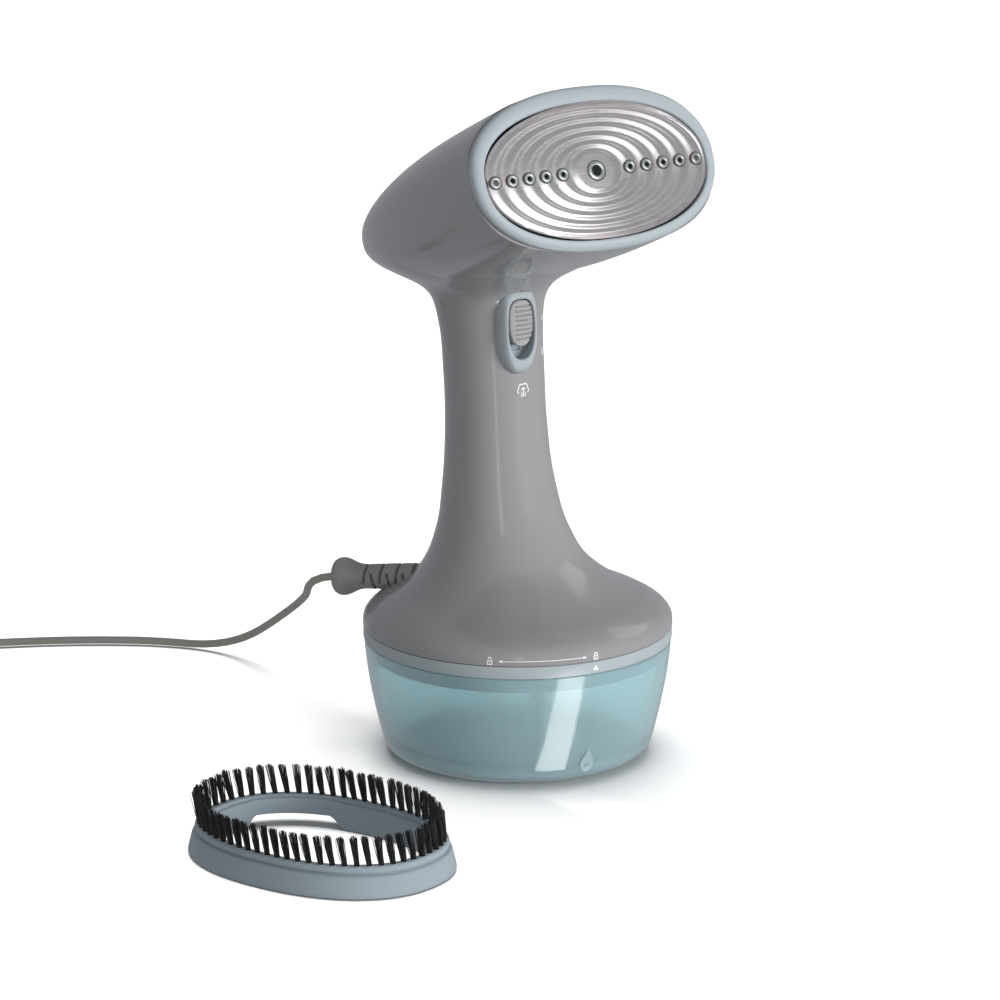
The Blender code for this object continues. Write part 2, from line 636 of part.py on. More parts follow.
def arc_block(name, inner, outer, low, high, middle, spread, count=6):
    """Block between two radii over a part of a circle, as a prism of its outline."""
    angles = [middle - spread / 2.0 + spread * i / count for i in range(count + 1)]
    outline = [(outer * math.cos(a), outer * math.sin(a)) for a in angles]
    outline += [(inner * math.cos(a), inner * math.sin(a)) for a in reversed(angles)]
    return loft(name, [[(x, y, z) for x, y in outline] for z in (low, high)], None,
                collection=CUTTERS)


def bayonet_angles():
    return [math.radians(-90.0) + TURN * i / BAYONET_COUNT for i in range(BAYONET_COUNT)]


def make_base():
    base = turned("base_plate", [(2.0, 66.0), (3.4, 66.0), (3.4, 59.8), (60.6, 59.8), (60.6, 57.4),
                                 (SPIGOT_R, 57.4), (SPIGOT_R, 46.2), (SPIGOT_R - 2.4, 46.2),
                                 (SPIGOT_R - 2.4, 57.4), (3.4, 57.4), (3.4, 50.0), (2.0, 50.0)],
                  PALE_TRIM, 34, closed=True)
    for i, angle in enumerate(bayonet_angles()):
        cut(base, arc_block(f"base_lug_{i}", SPIGOT_R - 1.0, SPIGOT_R + 3.2, 46.5, 48.8,
                            angle, BAYONET_SPREAD), "UNION")
    for i, (x, y) in enumerate(base_screw_spots()):
        cut(base, cylinder(f"base_clear_{i}", 1.6, 50.0, 64.0, None, CUTTERS, 12, (x, y)))
    turned("tank_seal", [(SPIGOT_R + 3.2, 57.1), (SPIGOT_R + 3.3, 55.3), (SPIGOT_R + 0.4, 55.3),
                         (SPIGOT_R + 0.4, 57.1)], SILICONE, 32, closed=True)
    box("cord_clamp", (14.0, 5.0, 5.0), (-12.0, 22.0, 62.9), DARK_PLASTIC)
    box("terminal_block", (18.0, 10.0, 9.0), (20.0, -12.0, 64.9), DARK_PLASTIC)


def make_relief():
    shape = [(0.0, RELIEF_END), (5.2, RELIEF_END), (7.4, RELIEF_END - 1.6), (8.1, RELIEF_END - 4.4),
             (7.0, RELIEF_END - 7.6), (5.5, RELIEF_END - 11.0), (5.25, RELIEF_END - 14.0),
             (5.8, 46.0), (5.8, 38.6), (7.2, 38.6), (7.2, 36.0), (0.0, 36.0)]
    along_relief(turned("strain_relief", shape, RELIEF_GREY, 16))


# ---------------------------------------------------------------- tank
def tank_radius(z):
    return TANK_TOP_R - TANK_DRAW_IN * ((TANK_TOP_Z - z) / TANK_TOP_Z) ** 1.5


def make_tank():
    outside = [(tank_radius(z), z) for z in (TANK_TOP_Z, 37.0, 25.0, 14.0, 6.0, 2.8)]
    foot = [(53.6, 0.9), (TANK_FOOT_R, 0.0), (0.0, 0.0)]
    inside = [(0.0, 2.6), (TANK_FOOT_R + 1.0, 2.6)]
    inside += [(tank_radius(z) - TANK_WALL, z) for z in (6.0, 14.0, 28.0, TANK_TOP_Z)]
    turned("tank", outside + foot + inside, TEAL_TANK, 40, closed=True)

    collar = turned("tank_collar", [(COLLAR_R, 54.9), (COLLAR_R, 49.6), (60.9, 49.6), (60.9, 42.9),
                                    (59.0, 42.9), (59.0, 49.6), (SPIGOT_R + 3.7, 49.6),
                                    (SPIGOT_R + 3.7, 54.9)], PALE_TRIM, 40, closed=True)
    for i, angle in enumerate(bayonet_angles()):
        cut(collar, arc_block(f"collar_lug_{i}", SPIGOT_R + 0.4, SPIGOT_R + 5.0, 49.9, 52.6,
                              angle, BAYONET_SPREAD), "UNION")


# ---------------------------------------------------------------- brush attachment
def at_brush(thing):
    return place(thing, BRUSH_AT, Matrix.Rotation(BRUSH_TURN, 3, "Z"))


def arched(loop):
    """Lifts the foot of the ring between the arch's two angles."""
    made = []
    for i, point in enumerate(loop):
        angle = 360.0 * i / len(loop)
        share = min(1.0, max(0.0, min(angle - ARCH_FROM, ARCH_TO - angle) / 12.0))
        lift = ARCH_RISE * share * share * (3.0 - 2.0 * share)
        made.append(Vector((point[0], point[1], point[2] + lift * (1.0 - point[2] / BRUSH_HEIGHT))))
    return made


def make_brush():
    fa, fb = BRUSH_FOOT_HALF
    ta, tb = BRUSH_TUFT_HALF
    wall = 2.2
    section = [(fa, fb, 0.0), (fa - 0.5, fb - 0.5, 2.5), (fa - 1.6, fb - 1.6, 7.6),
               (fa - 2.0, fb - 2.0, 8.7), (ta + 1.7, tb + 1.7, 9.2),
               (ta + 1.6, tb + 1.6, BRUSH_HEIGHT - 0.5),
               (ta + 1.2, tb + 1.2, BRUSH_HEIGHT), (ta - 2.6, tb - 2.6, BRUSH_HEIGHT),
               (ta - 4.0, tb - 4.0, BRUSH_HEIGHT - 2.0), (ta - 4.4, tb - 4.4, 7.4),
               (fa - wall - 2.0, fb - wall - 2.0, 6.3), (fa - wall, fb - wall, 0.0)]
    loops = [arched(oval(p, q, z, power=BRUSH_POWER, count=32)) for p, q, z in section]
    frame = loft("brush_frame", loops, PALE_TRIM, ring=True)
    at_brush(frame)

    base, tip = BRUSH_HEIGHT + GAP, BRUSH_HEIGHT + TUFT_HEIGHT
    section = [(1.5, base), (1.9, tip), (-1.9, tip), (-1.5, base)]
    loops = [oval(ta + t, tb + t, z, power=BRUSH_POWER, count=32) for t, z in section]
    at_brush(loft("bristle_ring", loops, BRISTLE_BLACK, ring=True))

    for side, x in (("left", -1.0), ("right", 1.0)):
        clip = box(f"brush_clip_{side}", (1.8, 9.0, 5.2), (x * (fa - 5.6), 0.0, 3.0), PALE_TRIM)
        at_brush(clip)


# ---------------------------------------------------------------- cord
def make_cord():
    tube("mains_cord", curve_through(CORD_ROUTE, 7.6), CORD_R, CORD_GREY, 2)
    outer = COIL_OUTER_TURN + CORD_R
    inner = COIL_INNER_TURN - CORD_R
    top = (COIL_ROWS - 1) * COIL_PITCH + 2.0 * CORD_R
    coil = turned("cord_coil", [(outer, top + 0.1), (outer, 0.1), (inner, 0.1), (inner, top + 0.1)],
                  CORD_GREY, 32, closed=True)
    place(coil, COIL_CENTRE)

    side = Vector((-PLUG_HEADING.y, PLUG_HEADING.x, 0.0))
    turn = frame_from(PLUG_HEADING, side, Vector((0.0, 0.0, 1.0)))
    start = COIL_CENTRE + side * COIL_OUTER_TURN + PLUG_HEADING * COIL_TAIL
    start.z = PLUG_AXIS_Z
    length, width, height = PLUG_BODY
    sleeve_length = 16.0
    sleeve = turned("plug_sleeve", [(0.0, sleeve_length - GAP), (4.4, sleeve_length - GAP), (2.9, 0.0),
                                    (0.0, 0.0)], CORD_GREY, 16)
    place(sleeve, start, turn @ Matrix.Rotation(math.pi / 2.0, 3, "Y"))
    body = box("plug_body", (length, width, height), (sleeve_length + length / 2.0, 0.0, 0.0),
               CORD_GREY, bevel=3.0)
    place(body, start, turn)
    for name, offset, blade in (("plug_blade_narrow", 6.35, 6.3), ("plug_blade_wide", -6.35, 7.9)):
        pin = box(name, (17.0, 1.5, blade), (sleeve_length + length + GAP + 8.5, offset, 0.0), BRASS)
        place(pin, start, turn)


make_housing()
make_screws()
make_face()
make_boiler()
make_trigger()
make_pump()
make_hoses()
make_base()
make_relief()
make_tank()
make_brush()
make_cord()
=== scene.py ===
"""Handheld garment steamer: its visible surfaces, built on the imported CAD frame.

Shapes are worked out in millimetres and scaled to metres where a mesh is made.
+Z is up, the steam face looks towards -Y, and the origin is the centre of the tank's foot.
"""

import json
import math
import random

import bmesh
import bpy
import numpy as np
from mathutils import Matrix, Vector

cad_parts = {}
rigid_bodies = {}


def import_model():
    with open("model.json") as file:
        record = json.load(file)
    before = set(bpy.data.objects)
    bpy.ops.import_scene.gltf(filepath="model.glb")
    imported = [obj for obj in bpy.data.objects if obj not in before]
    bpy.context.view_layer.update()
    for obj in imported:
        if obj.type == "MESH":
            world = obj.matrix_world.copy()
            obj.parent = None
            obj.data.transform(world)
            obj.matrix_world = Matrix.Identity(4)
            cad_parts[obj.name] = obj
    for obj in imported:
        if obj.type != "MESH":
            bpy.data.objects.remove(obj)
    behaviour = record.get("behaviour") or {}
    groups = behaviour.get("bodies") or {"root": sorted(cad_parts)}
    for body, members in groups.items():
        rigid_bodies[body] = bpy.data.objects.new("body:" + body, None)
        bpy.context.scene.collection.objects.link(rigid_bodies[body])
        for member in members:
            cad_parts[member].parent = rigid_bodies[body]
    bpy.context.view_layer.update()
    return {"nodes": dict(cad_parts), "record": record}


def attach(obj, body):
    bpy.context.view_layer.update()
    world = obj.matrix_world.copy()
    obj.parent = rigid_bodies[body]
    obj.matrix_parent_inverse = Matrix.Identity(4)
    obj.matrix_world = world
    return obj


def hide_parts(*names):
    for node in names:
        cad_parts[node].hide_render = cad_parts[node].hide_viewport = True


for left_over in list(bpy.data.objects):
    bpy.data.objects.remove(left_over, do_unlink=True)
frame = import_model()

MM = 0.001
TAU = 2.0 * math.pi
chance = random.Random(7)


# ------------------------------------------------------------------ small helpers
def placed(name, data):
    made = bpy.data.objects.new(name, data)
    bpy.context.scene.collection.objects.link(made)
    return made


def direction(azimuth, elevation):
    """Unit vector towards an azimuth, turned from -Y about +Z, and an elevation, in degrees."""
    a, e = math.radians(azimuth), math.radians(elevation)
    return Vector((math.sin(a) * math.cos(e), -math.cos(a) * math.cos(e), math.sin(e)))


def look_along(made, way):
    made.rotation_mode = "QUATERNION"
    made.rotation_quaternion = way.to_track_quat("-Z", "Y")


def clamp(value):
    return min(1.0, max(0.0, value))


# ------------------------------------------------------------------ camera
CAMERA_AZIMUTH, CAMERA_ELEVATION, CAMERA_DISTANCE = -29.65, 14.85, 2.5
CAMERA_TARGET = Vector((0.0, 0.0, 0.150))
LENS, SENSOR = 216.68148, 36.0
LOOK_RIGHT, LOOK_DOWN = -0.002952352, 0.016237105


def make_camera():
    """Camera that looks past its target by LOOK_RIGHT and LOOK_DOWN, both slopes."""
    back = direction(CAMERA_AZIMUTH, CAMERA_ELEVATION)
    turn = math.radians(CAMERA_AZIMUTH)
    right = Vector((math.cos(turn), math.sin(turn), 0.0))
    data = bpy.data.cameras.new("camera")
    data.lens, data.sensor_width = LENS, SENSOR
    data.clip_start, data.clip_end = 0.05, 50.0
    made = placed("camera", data)
    made.location = CAMERA_TARGET + back * CAMERA_DISTANCE
    look_along(made, right * LOOK_RIGHT - back - back.cross(right) * LOOK_DOWN)
    bpy.context.scene.camera = made


make_camera()


# ------------------------------------------------------------------ materials
class Nodes:
    """A material's node tree with short ways to add nodes and links."""

    def __init__(self, name):
        self.material = bpy.data.materials.new(name)
        self.material.use_nodes = True
        self.tree = self.material.node_tree
        self.shader = self.tree.nodes["Principled BSDF"]
        where = self.add("ShaderNodeTexCoord")
        self.place = where.outputs["Object"]

    def add(self, kind, **settings):
        made = self.tree.nodes.new(kind)
        for key, value in settings.items():
            setattr(made, key, value)
        return made

    def link(self, source, target):
        self.tree.links.new(source, target)

    def stretched(self, scale):
        mapping = self.add("ShaderNodeMapping")
        mapping.inputs["Scale"].default_value = scale
        self.link(self.place, mapping.inputs["Vector"])
        return mapping.outputs["Vector"]

    def noise(self, scale, detail=3.0, rough=0.5, where=None):
        made = self.add("ShaderNodeTexNoise")
        made.inputs["Scale"].default_value = scale
        made.inputs["Detail"].default_value = detail
        made.inputs["Roughness"].default_value = rough
        self.link(self.place if where is None else where, made.inputs["Vector"])
        return made.outputs["Fac"]

    def spread(self, fac, low, high):
        made = self.add("ShaderNodeMapRange")
        made.inputs["From Min"].default_value = 0.3
        made.inputs["From Max"].default_value = 0.7
        made.inputs["To Min"].default_value = low
        made.inputs["To Max"].default_value = high
        self.link(fac, made.inputs["Value"])
        return made.outputs["Result"]

    def ramp(self, fac, stops):
        made = self.add("ShaderNodeValToRGB")
        bar = made.color_ramp
        while len(bar.elements) < len(stops):
            bar.elements.new(0.5)
        for element, (at, colour) in zip(bar.elements, stops):
            element.position = at
            element.color = (*colour, 1.0)
        self.link(fac, made.inputs["Fac"])
        return made.outputs["Color"]

    def bump(self, height, distance, strength=1.0, normal=None):
        made = self.add("ShaderNodeBump")
        made.inputs["Strength"].default_value = strength
        made.inputs["Distance"].default_value = distance
        self.link(height, made.inputs["Height"])
        if normal is not None:
            self.link(normal, made.inputs["Normal"])
        return made.outputs["Normal"]

    def set(self, **values):
        for key, value in values.items():
            self.shader.inputs[key.replace("_", " ")].default_value = value
        return self

    def to(self, socket, source):
        self.link(source, self.shader.inputs[socket])
        return self


def shade(colour, by):
    return tuple(min(1.0, c * by) for c in colour)


def moulded(name, colour, rough, grain=2600.0, grain_depth=0.00002, wave=55.0,
            wave_depth=0.00002, vary=0.05, **settings):
    """Moulded plastic: slight colour drift, a fine grain, a slow wave in the skin, rubbed patches."""
    n = Nodes(name)
    drift = n.noise(14.0, 2.0)
    n.to("Base Color", n.ramp(drift, [(0.3, shade(colour, 1.0 - vary)),
                                       (0.7, shade(colour, 1.0 + vary))]))
    wear = n.noise(85.0, 4.0, 0.6)
    n.to("Roughness", n.spread(wear, rough * 0.86, rough * 1.18))
    slow = n.bump(n.noise(wave, 1.0), wave_depth)
    n.to("Normal", n.bump(n.noise(grain, 2.0), grain_depth, 1.0, slow))
    return n.set(**settings)


def metal(name, colour, rough, lines=(60.0, 1800.0, 1800.0), line_depth=0.000012, **settings):
    """Metal with drawn lines along the axis of the smallest scale, and a faint stain."""
    n = Nodes(name)
    stain = n.noise(22.0, 3.0)
    n.to("Base Color", n.ramp(stain, [(0.3, shade(colour, 0.93)), (0.7, shade(colour, 1.03))]))
    drawn = n.noise(1.0, 3.0, 0.6, n.stretched(lines))
    n.to("Roughness", n.spread(drawn, rough * 0.8, rough * 1.25))
    n.to("Normal", n.bump(drawn, line_depth))
    return n.set(Metallic=1.0, **settings)


SHELL = moulded("grey_shell", (0.262, 0.258, 0.262), 0.17, 1900.0, 0.000004, 38.0, 0.00003, 0.02,
                Coat_Weight=0.35, Coat_Roughness=0.06, IOR=1.5).material
TRIM = moulded("pale_blue_trim", (0.345, 0.385, 0.405), 0.36, 2600.0, 0.00001, 45.0, 0.00002, 0.025,
               IOR=1.49).material
BRUSH_TRIM = moulded("brush_trim", (0.27, 0.32, 0.35), 0.42, 2400.0, 0.000012, 45.0, 0.00002, 0.03,
                     IOR=1.49).material
PAD = moulded("grey_pad", (0.33, 0.325, 0.33), 0.4, 2200.0, 0.00002, 60.0, 0.00001, 0.03).material
# Darker copy of the pale blue trim: painted shade for the trigger's recess and for the collar's skirt
# seen through the tank.
PAINTED_SHADE_TRIM = moulded("trim_painted_shade", (0.27, 0.315, 0.345), 0.45, 2200.0, 0.00002, vary=0.06).material
DARK = moulded("dark_plastic", (0.03, 0.03, 0.033), 0.42, 1800.0, 0.00003, vary=0.15).material
SILICONE = moulded("silicone", (0.62, 0.62, 0.58), 0.5, 1500.0, 0.00002, vary=0.06,
                   Subsurface_Weight=0.1, Subsurface_Scale=0.002).material
RELIEF = moulded("relief_grey", (0.25, 0.254, 0.238), 0.46, 1500.0, 0.00004, vary=0.06,
                 Sheen_Weight=0.12, Sheen_Roughness=0.4).material
CORD = moulded("cord_grey", (0.29, 0.28, 0.245), 0.42, 2400.0, 0.00003, 240.0, 0.00004,
               0.07, Sheen_Weight=0.08, Sheen_Roughness=0.4).material
STEEL = metal("bright_steel", (0.76, 0.725, 0.73), 0.31, (60.0, 1400.0, 1400.0), 0.0000004).material
EYELET = metal("eyelet_steel", (0.66, 0.69, 0.67), 0.34, (700.0, 700.0, 700.0), 0.000012).material
SPRING = metal("spring_steel", (0.60, 0.59, 0.58), 0.28, (1500.0, 1500.0, 200.0)).material
ALLOY = metal("cast_alloy", (0.50, 0.51, 0.52), 0.52, (900.0, 900.0, 900.0), 0.00006).material
COPPER = metal("copper_winding", (0.68, 0.31, 0.15), 0.32, (1.0, 1.0, 2600.0), 0.00005).material
ZINC = metal("zinc_screw", (0.62, 0.63, 0.64), 0.3, (900.0, 900.0, 900.0), 0.00001).material
BRASS = metal("brass", (0.72, 0.56, 0.28), 0.27, (60.0, 60.0, 1600.0), 0.00001).material


def make_tank_material(name, colour, rough, transmission):
    n = Nodes(name)
    cloud = n.noise(26.0, 3.0)
    n.to("Base Color", n.ramp(cloud, [(0.3, shade(colour, 0.965)), (0.7, shade(colour, 1.02))]))
    n.to("Roughness", n.spread(n.noise(120.0, 3.0), rough * 0.85, rough * 1.2))
    n.to("Normal", n.bump(n.noise(24.0, 1.0), 0.00004))
    return n.set(Transmission_Weight=transmission, IOR=1.47, Coat_Weight=0.4,
                 Coat_Roughness=0.03).material


TANK = make_tank_material("teal_tank", (0.585, 0.785, 0.82), 0.16, 0.74)
DROP = make_tank_material("teal_drop", (0.58, 0.73, 0.78), 0.22, 0.55)


def make_bristle_material():
    n = Nodes("bristle_black")
    n.to("Base Color", n.ramp(n.noise(900.0, 2.0), [(0.3, (0.008, 0.008, 0.009)),
                                                     (0.7, (0.022, 0.021, 0.021))]))
    n.to("Roughness", n.spread(n.noise(400.0, 2.0), 0.38, 0.6))
    n.to("Normal", n.bump(n.noise(1.0, 2.0, 0.5, n.stretched((2600.0, 2600.0, 200.0))), 0.00002))
    return n.material


def make_print_material():
    n = Nodes("white_print")
    n.to("Base Color", n.ramp(n.noise(1400.0, 3.0), [(0.3, (0.80, 0.81, 0.82)),
                                                      (0.6, (0.93, 0.93, 0.93))]))
    n.to("Roughness", n.spread(n.noise(700.0, 2.0), 0.4, 0.6))
    return n.material


BRISTLE = make_bristle_material()
PRINT = make_print_material()


# ------------------------------------------------------------------ making pieces
def piece(name, points, faces, material, body, replaces=(), angle=38.0):
    data = bpy.data.meshes.new(name)
    shape = bmesh.new()
    verts = [shape.verts.new(Vector(p) * MM) for p in points]
    for face in faces:
        shape.faces.new([verts[i] for i in face])
    bmesh.ops.recalc_face_normals(shape, faces=shape.faces)
    shape.to_mesh(data)
    shape.free()
    data.shade_smooth()
    if angle is not None:
        data.set_sharp_from_angle(angle=math.radians(angle))
    data.materials.append(material)
    return riding(placed(name, data), body, replaces)


def riding(made, body, replaces=()):
    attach(made, body)
    if replaces:
        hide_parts(*replaces)
    return made


class Shape:
    """Gathers points and faces, in millimetres."""

    def __init__(self):
        self.points, self.faces = [], []

    def put(self, points, faces):
        start = len(self.points)
        self.points += [tuple(p) for p in points]
        self.faces += [tuple(i + start for i in face) for face in faces]
        return self

    def skin(self, loops, ring=False, first=True, last=True):
        """Skins loops of equal length; ring joins the last to the first, else caps close the ends."""
        start, count, rows = len(self.points), len(loops[0]), len(loops)
        for loop in loops:
            self.points += [tuple(p) for p in loop]
        for r in range(rows if ring else rows - 1):
            low, high = start + r * count, start + ((r + 1) % rows) * count
            for i in range(count):
                j = (i + 1) % count
                self.faces.append((low + i, low + j, high + j, high + i))
        if not ring:
            if first:
                self.faces.append(tuple(range(start + count - 1, start - 1, -1)))
            if last:
                self.faces.append(tuple(range(start + (rows - 1) * count, start + rows * count)))
        return self

    def block(self, size, centre=(0.0, 0.0, 0.0), soft=0.3):
        """Block with chamfered edges."""
        x, y, z = (s / 2.0 for s in size)
        loops = []
        for inset, level in ((soft, -z), (0.0, -z + soft), (0.0, z - soft), (soft, z)):
            a, b = x - inset, y - inset
            outline = [(a, -b + soft), (a, b - soft), (a - soft, b), (-a + soft, b),
                       (-a, b - soft), (-a, -b + soft), (-a + soft, -b), (a - soft, -b)]
            loops.append([(p + centre[0], q + centre[1], level + centre[2]) for p, q in outline])
        return self.skin(loops)

    def turned_to(self, turn, at=(0.0, 0.0, 0.0)):
        moved = np.array(self.points) @ np.array(turn).T + np.array(at)
        self.points = [tuple(p) for p in moved]
        return self

    def make(self, name, material, body, slot=None, replaces=(), angle=38.0):
        return piece(name, self.points, self.faces, material, body, replaces, angle)


def lathe(profile, steps=96, at=(0.0, 0.0)):
    """Closed profile of (radius, height) turned about Z."""
    angles = [TAU * i / steps for i in range(steps)]
    return [[(at[0] + r * math.cos(a), at[1] + r * math.sin(a), z) for a in angles]
            for r, z in profile]


def rounded(points, radius, steps):
    """Rounds the corners of a closed outline in the plane."""
    made, count = [], len(points)
    for i in range(count):
        before, here, after = (np.array(points[k % count], float) for k in (i - 1, i, i + 1))
        u, v = before - here, after - here
        reach = min(radius, np.linalg.norm(u) * 0.45, np.linalg.norm(v) * 0.45)
        start, end = here + u / np.linalg.norm(u) * reach, here + v / np.linalg.norm(v) * reach
        for t in np.linspace(0.0, 1.0, steps + 1):
            made.append(tuple((1 - t) ** 2 * start + 2 * t * (1 - t) * here + t * t * end))
    return made


def oval(half_x, half_y, z=0.0, rise=0.0, power=2.0, count=120, low_power=None):
    """Superellipse at height z; low_power is the lower half's own power."""
    points = []
    for i in range(count):
        angle = TAU * i / count
        c, s = math.cos(angle), math.sin(angle)
        p = low_power if low_power and s < 0.0 else power
        points.append((half_x * math.copysign(abs(c) ** (2.0 / p), c),
                       half_y * math.copysign(abs(s) ** (2.0 / p), s) + rise, z))
    return points


def through(stations, where):
    """Values of a table at the places asked for, on a smooth curve through its rows."""
    table = np.array(stations, float)
    at, values = table[:, 0], table[:, 1:]
    slopes = np.gradient(values, at, axis=0)
    where = np.clip(np.asarray(where, float), at[0], at[-1])
    i = np.clip(np.searchsorted(at, where) - 1, 0, len(at) - 2)
    span = (at[i + 1] - at[i])[..., None]
    t = (where - at[i])[..., None] / span
    start = values[i] * (2 * t**3 - 3 * t**2 + 1) + slopes[i] * span * (t**3 - 2 * t**2 + t)
    end = values[i + 1] * (3 * t**2 - 2 * t**3) + slopes[i + 1] * span * (t**3 - t**2)
    return start + end


def curve_through(points, spacing):
    """Evenly spaced points on a smooth curve through the given ones."""
    line = np.array(points, float)
    ends = np.vstack([2 * line[0] - line[1], line, 2 * line[-1] - line[-2]])
    fine = []
    for i in range(1, len(ends) - 2):
        p0, p1, p2, p3 = ends[i - 1:i + 3]
        for t in np.linspace(0.0, 1.0, 24, endpoint=False):
            fine.append(0.5 * (2 * p1 + (p2 - p0) * t + (2 * p0 - 5 * p1 + 4 * p2 - p3) * t**2
                               + (3 * p1 - p0 - 3 * p2 + p3) * t**3))
    fine = np.array(fine + [line[-1]])
    run = np.concatenate([[0.0], np.cumsum(np.linalg.norm(np.diff(fine, axis=0), axis=1))])
    even = np.linspace(0.0, run[-1], max(2, int(round(run[-1] / spacing)) + 1))
    return np.stack([np.interp(even, run, fine[:, k]) for k in range(3)], axis=1)


def curve_piece(name, path, radius, material, body, replaces=(), round_level=3):
    data = bpy.data.curves.new(name, "CURVE")
    data.dimensions = "3D"
    data.bevel_depth = radius * MM
    data.bevel_resolution = round_level
    data.use_fill_caps = True
    line = data.splines.new("POLY")
    line.points.add(len(path) - 1)
    for spot, point in zip(line.points, path):
        spot.co = (*(float(x) * MM for x in point), 1.0)
    line.use_smooth = True
    data.materials.append(material)
    return riding(placed(name, data), body, replaces)


def turn_x(angle):
    c, s = math.cos(angle), math.sin(angle)
    return np.array([[1.0, 0.0, 0.0], [0.0, c, -s], [0.0, s, c]])


def turn_z(angle):
    c, s = math.cos(angle), math.sin(angle)
    return np.array([[c, -s, 0.0], [s, c, 0.0], [0.0, 0.0, 1.0]])


# ------------------------------------------------------------------ cord, coil and plug
CORD_R, CORD_LIE = 1.7, 1.9
CORD_ROUTE = [
    (-52.3, 64.6, 65.7), (-54.6, 68.0, 65.0), (-56.9, 75.5, 61.5), (-54.8, 84.5, 56.1),
    (-49.0, 98.0, 48.2), (-46.2, 112.0, 40.0), (-44.6, 128.0, 30.9), (-43.8, 143.5, 22.1),
    (-43.8, 157.0, 14.7), (-45.4, 169.5, 8.6), (-49.0, 180.8, 4.3), (-55.0, 190.8, 2.1),
    (-63.5, 199.8, 1.9), (-74.0, 208.4, 1.9), (-87.0, 216.6, 1.9), (-103.0, 225.2, 1.9),
    (-121.0, 233.0, 1.9), (-141.5, 240.7, 1.9),
]
COIL_AT = (-146.6, 269.7)
COIL_IN, COIL_OUT, COIL_PITCH, COIL_ROWS, COIL_TAIL = 13.7, 25.95, 3.5, 4, 22.0
PLUG_HEADING = np.array([-0.8686, 0.4955, 0.0])
PLUG_SIDE = np.array([-0.4955, -0.8686, 0.0])
PLUG_Z = 8.6


def coil_points():
    """A wound coil: each row spirals in or out by one cord a turn, and climbs where it turns back."""
    per_row = (COIL_OUT - COIL_IN) / COIL_PITCH
    points = []
    for u in np.arange(1.0 / 48.0, per_row * COIL_ROWS + 12.2 / 360.0, 1.0 / 24.0):
        row = min(int(u // per_row), COIL_ROWS)
        into = u - row * per_row
        radius = COIL_OUT - COIL_PITCH * into if row % 2 == 0 else COIL_IN + COIL_PITCH * into
        if row == COIL_ROWS:
            radius = COIL_OUT
        z = CORD_LIE + COIL_PITCH * min(row, COIL_ROWS - 1)
        for k in range(1, COIL_ROWS):
            t = (u - k * per_row) / 0.25
            if abs(t) < 1.0:
                s = (t + 1.0) / 2.0
                z = CORD_LIE + COIL_PITCH * (k - 1 + s * s * (3.0 - 2.0 * s))
        angle = math.radians(252.5) - TAU * u
        points.append((COIL_AT[0] + radius * math.cos(angle),
                       COIL_AT[1] + radius * math.sin(angle), z))
    return np.array(points)


def make_cord():
    end = np.array([COIL_AT[0], COIL_AT[1], 0.0]) + PLUG_SIDE * COIL_OUT
    top = CORD_LIE + COIL_PITCH * (COIL_ROWS - 1)
    tail = []
    for t in np.linspace(0.0, 1.0, 9):
        z = top + (PLUG_Z - top) * t * t * (3.0 - 2.0 * t)
        tail.append(end + PLUG_HEADING * COIL_TAIL * t + np.array([0.0, 0.0, z]))
    tail.append(end + PLUG_HEADING * (COIL_TAIL + 14.0) + np.array([0.0, 0.0, PLUG_Z]))
    path = np.vstack([curve_through(CORD_ROUTE, 6.5), coil_points(), np.array(tail)])
    lead = curve_piece("mains_lead", path, CORD_R, CORD, "steamer",
                       ("mains_cord", "cord_coil"), 4)
    strap = make_tie()
    start = end + PLUG_HEADING * COIL_TAIL
    plug_sleeve, plug_body, *blades = make_plug((start[0], start[1], PLUG_Z))
    tuple(x * MM for x in CORD_ROUTE[0])
    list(blades)


def make_tie():
    """Band round one side of the coil."""
    tie = Shape()
    middle = np.array([COIL_AT[0] + (COIL_IN + COIL_OUT) / 2.0, COIL_AT[1], 8.9])
    half_w, half_h = (COIL_OUT - COIL_IN) / 2.0 + 2.1, 6.9
    loops = []
    for out, y in ((0.0, -2.6), (0.7, -2.2), (0.7, 2.2), (0.0, 2.6), (-0.1, 0.0)):
        loops.append([(middle[0] + x, middle[1] + y, middle[2] - 1.4 + z)
                      for x, z, _ in oval(half_w + out, half_h + out - 0.2, power=3.6, count=40)])
    tie.skin(loops, ring=True)
    return tie.make("cord_tie", DARK, "steamer", "dark_plastic")


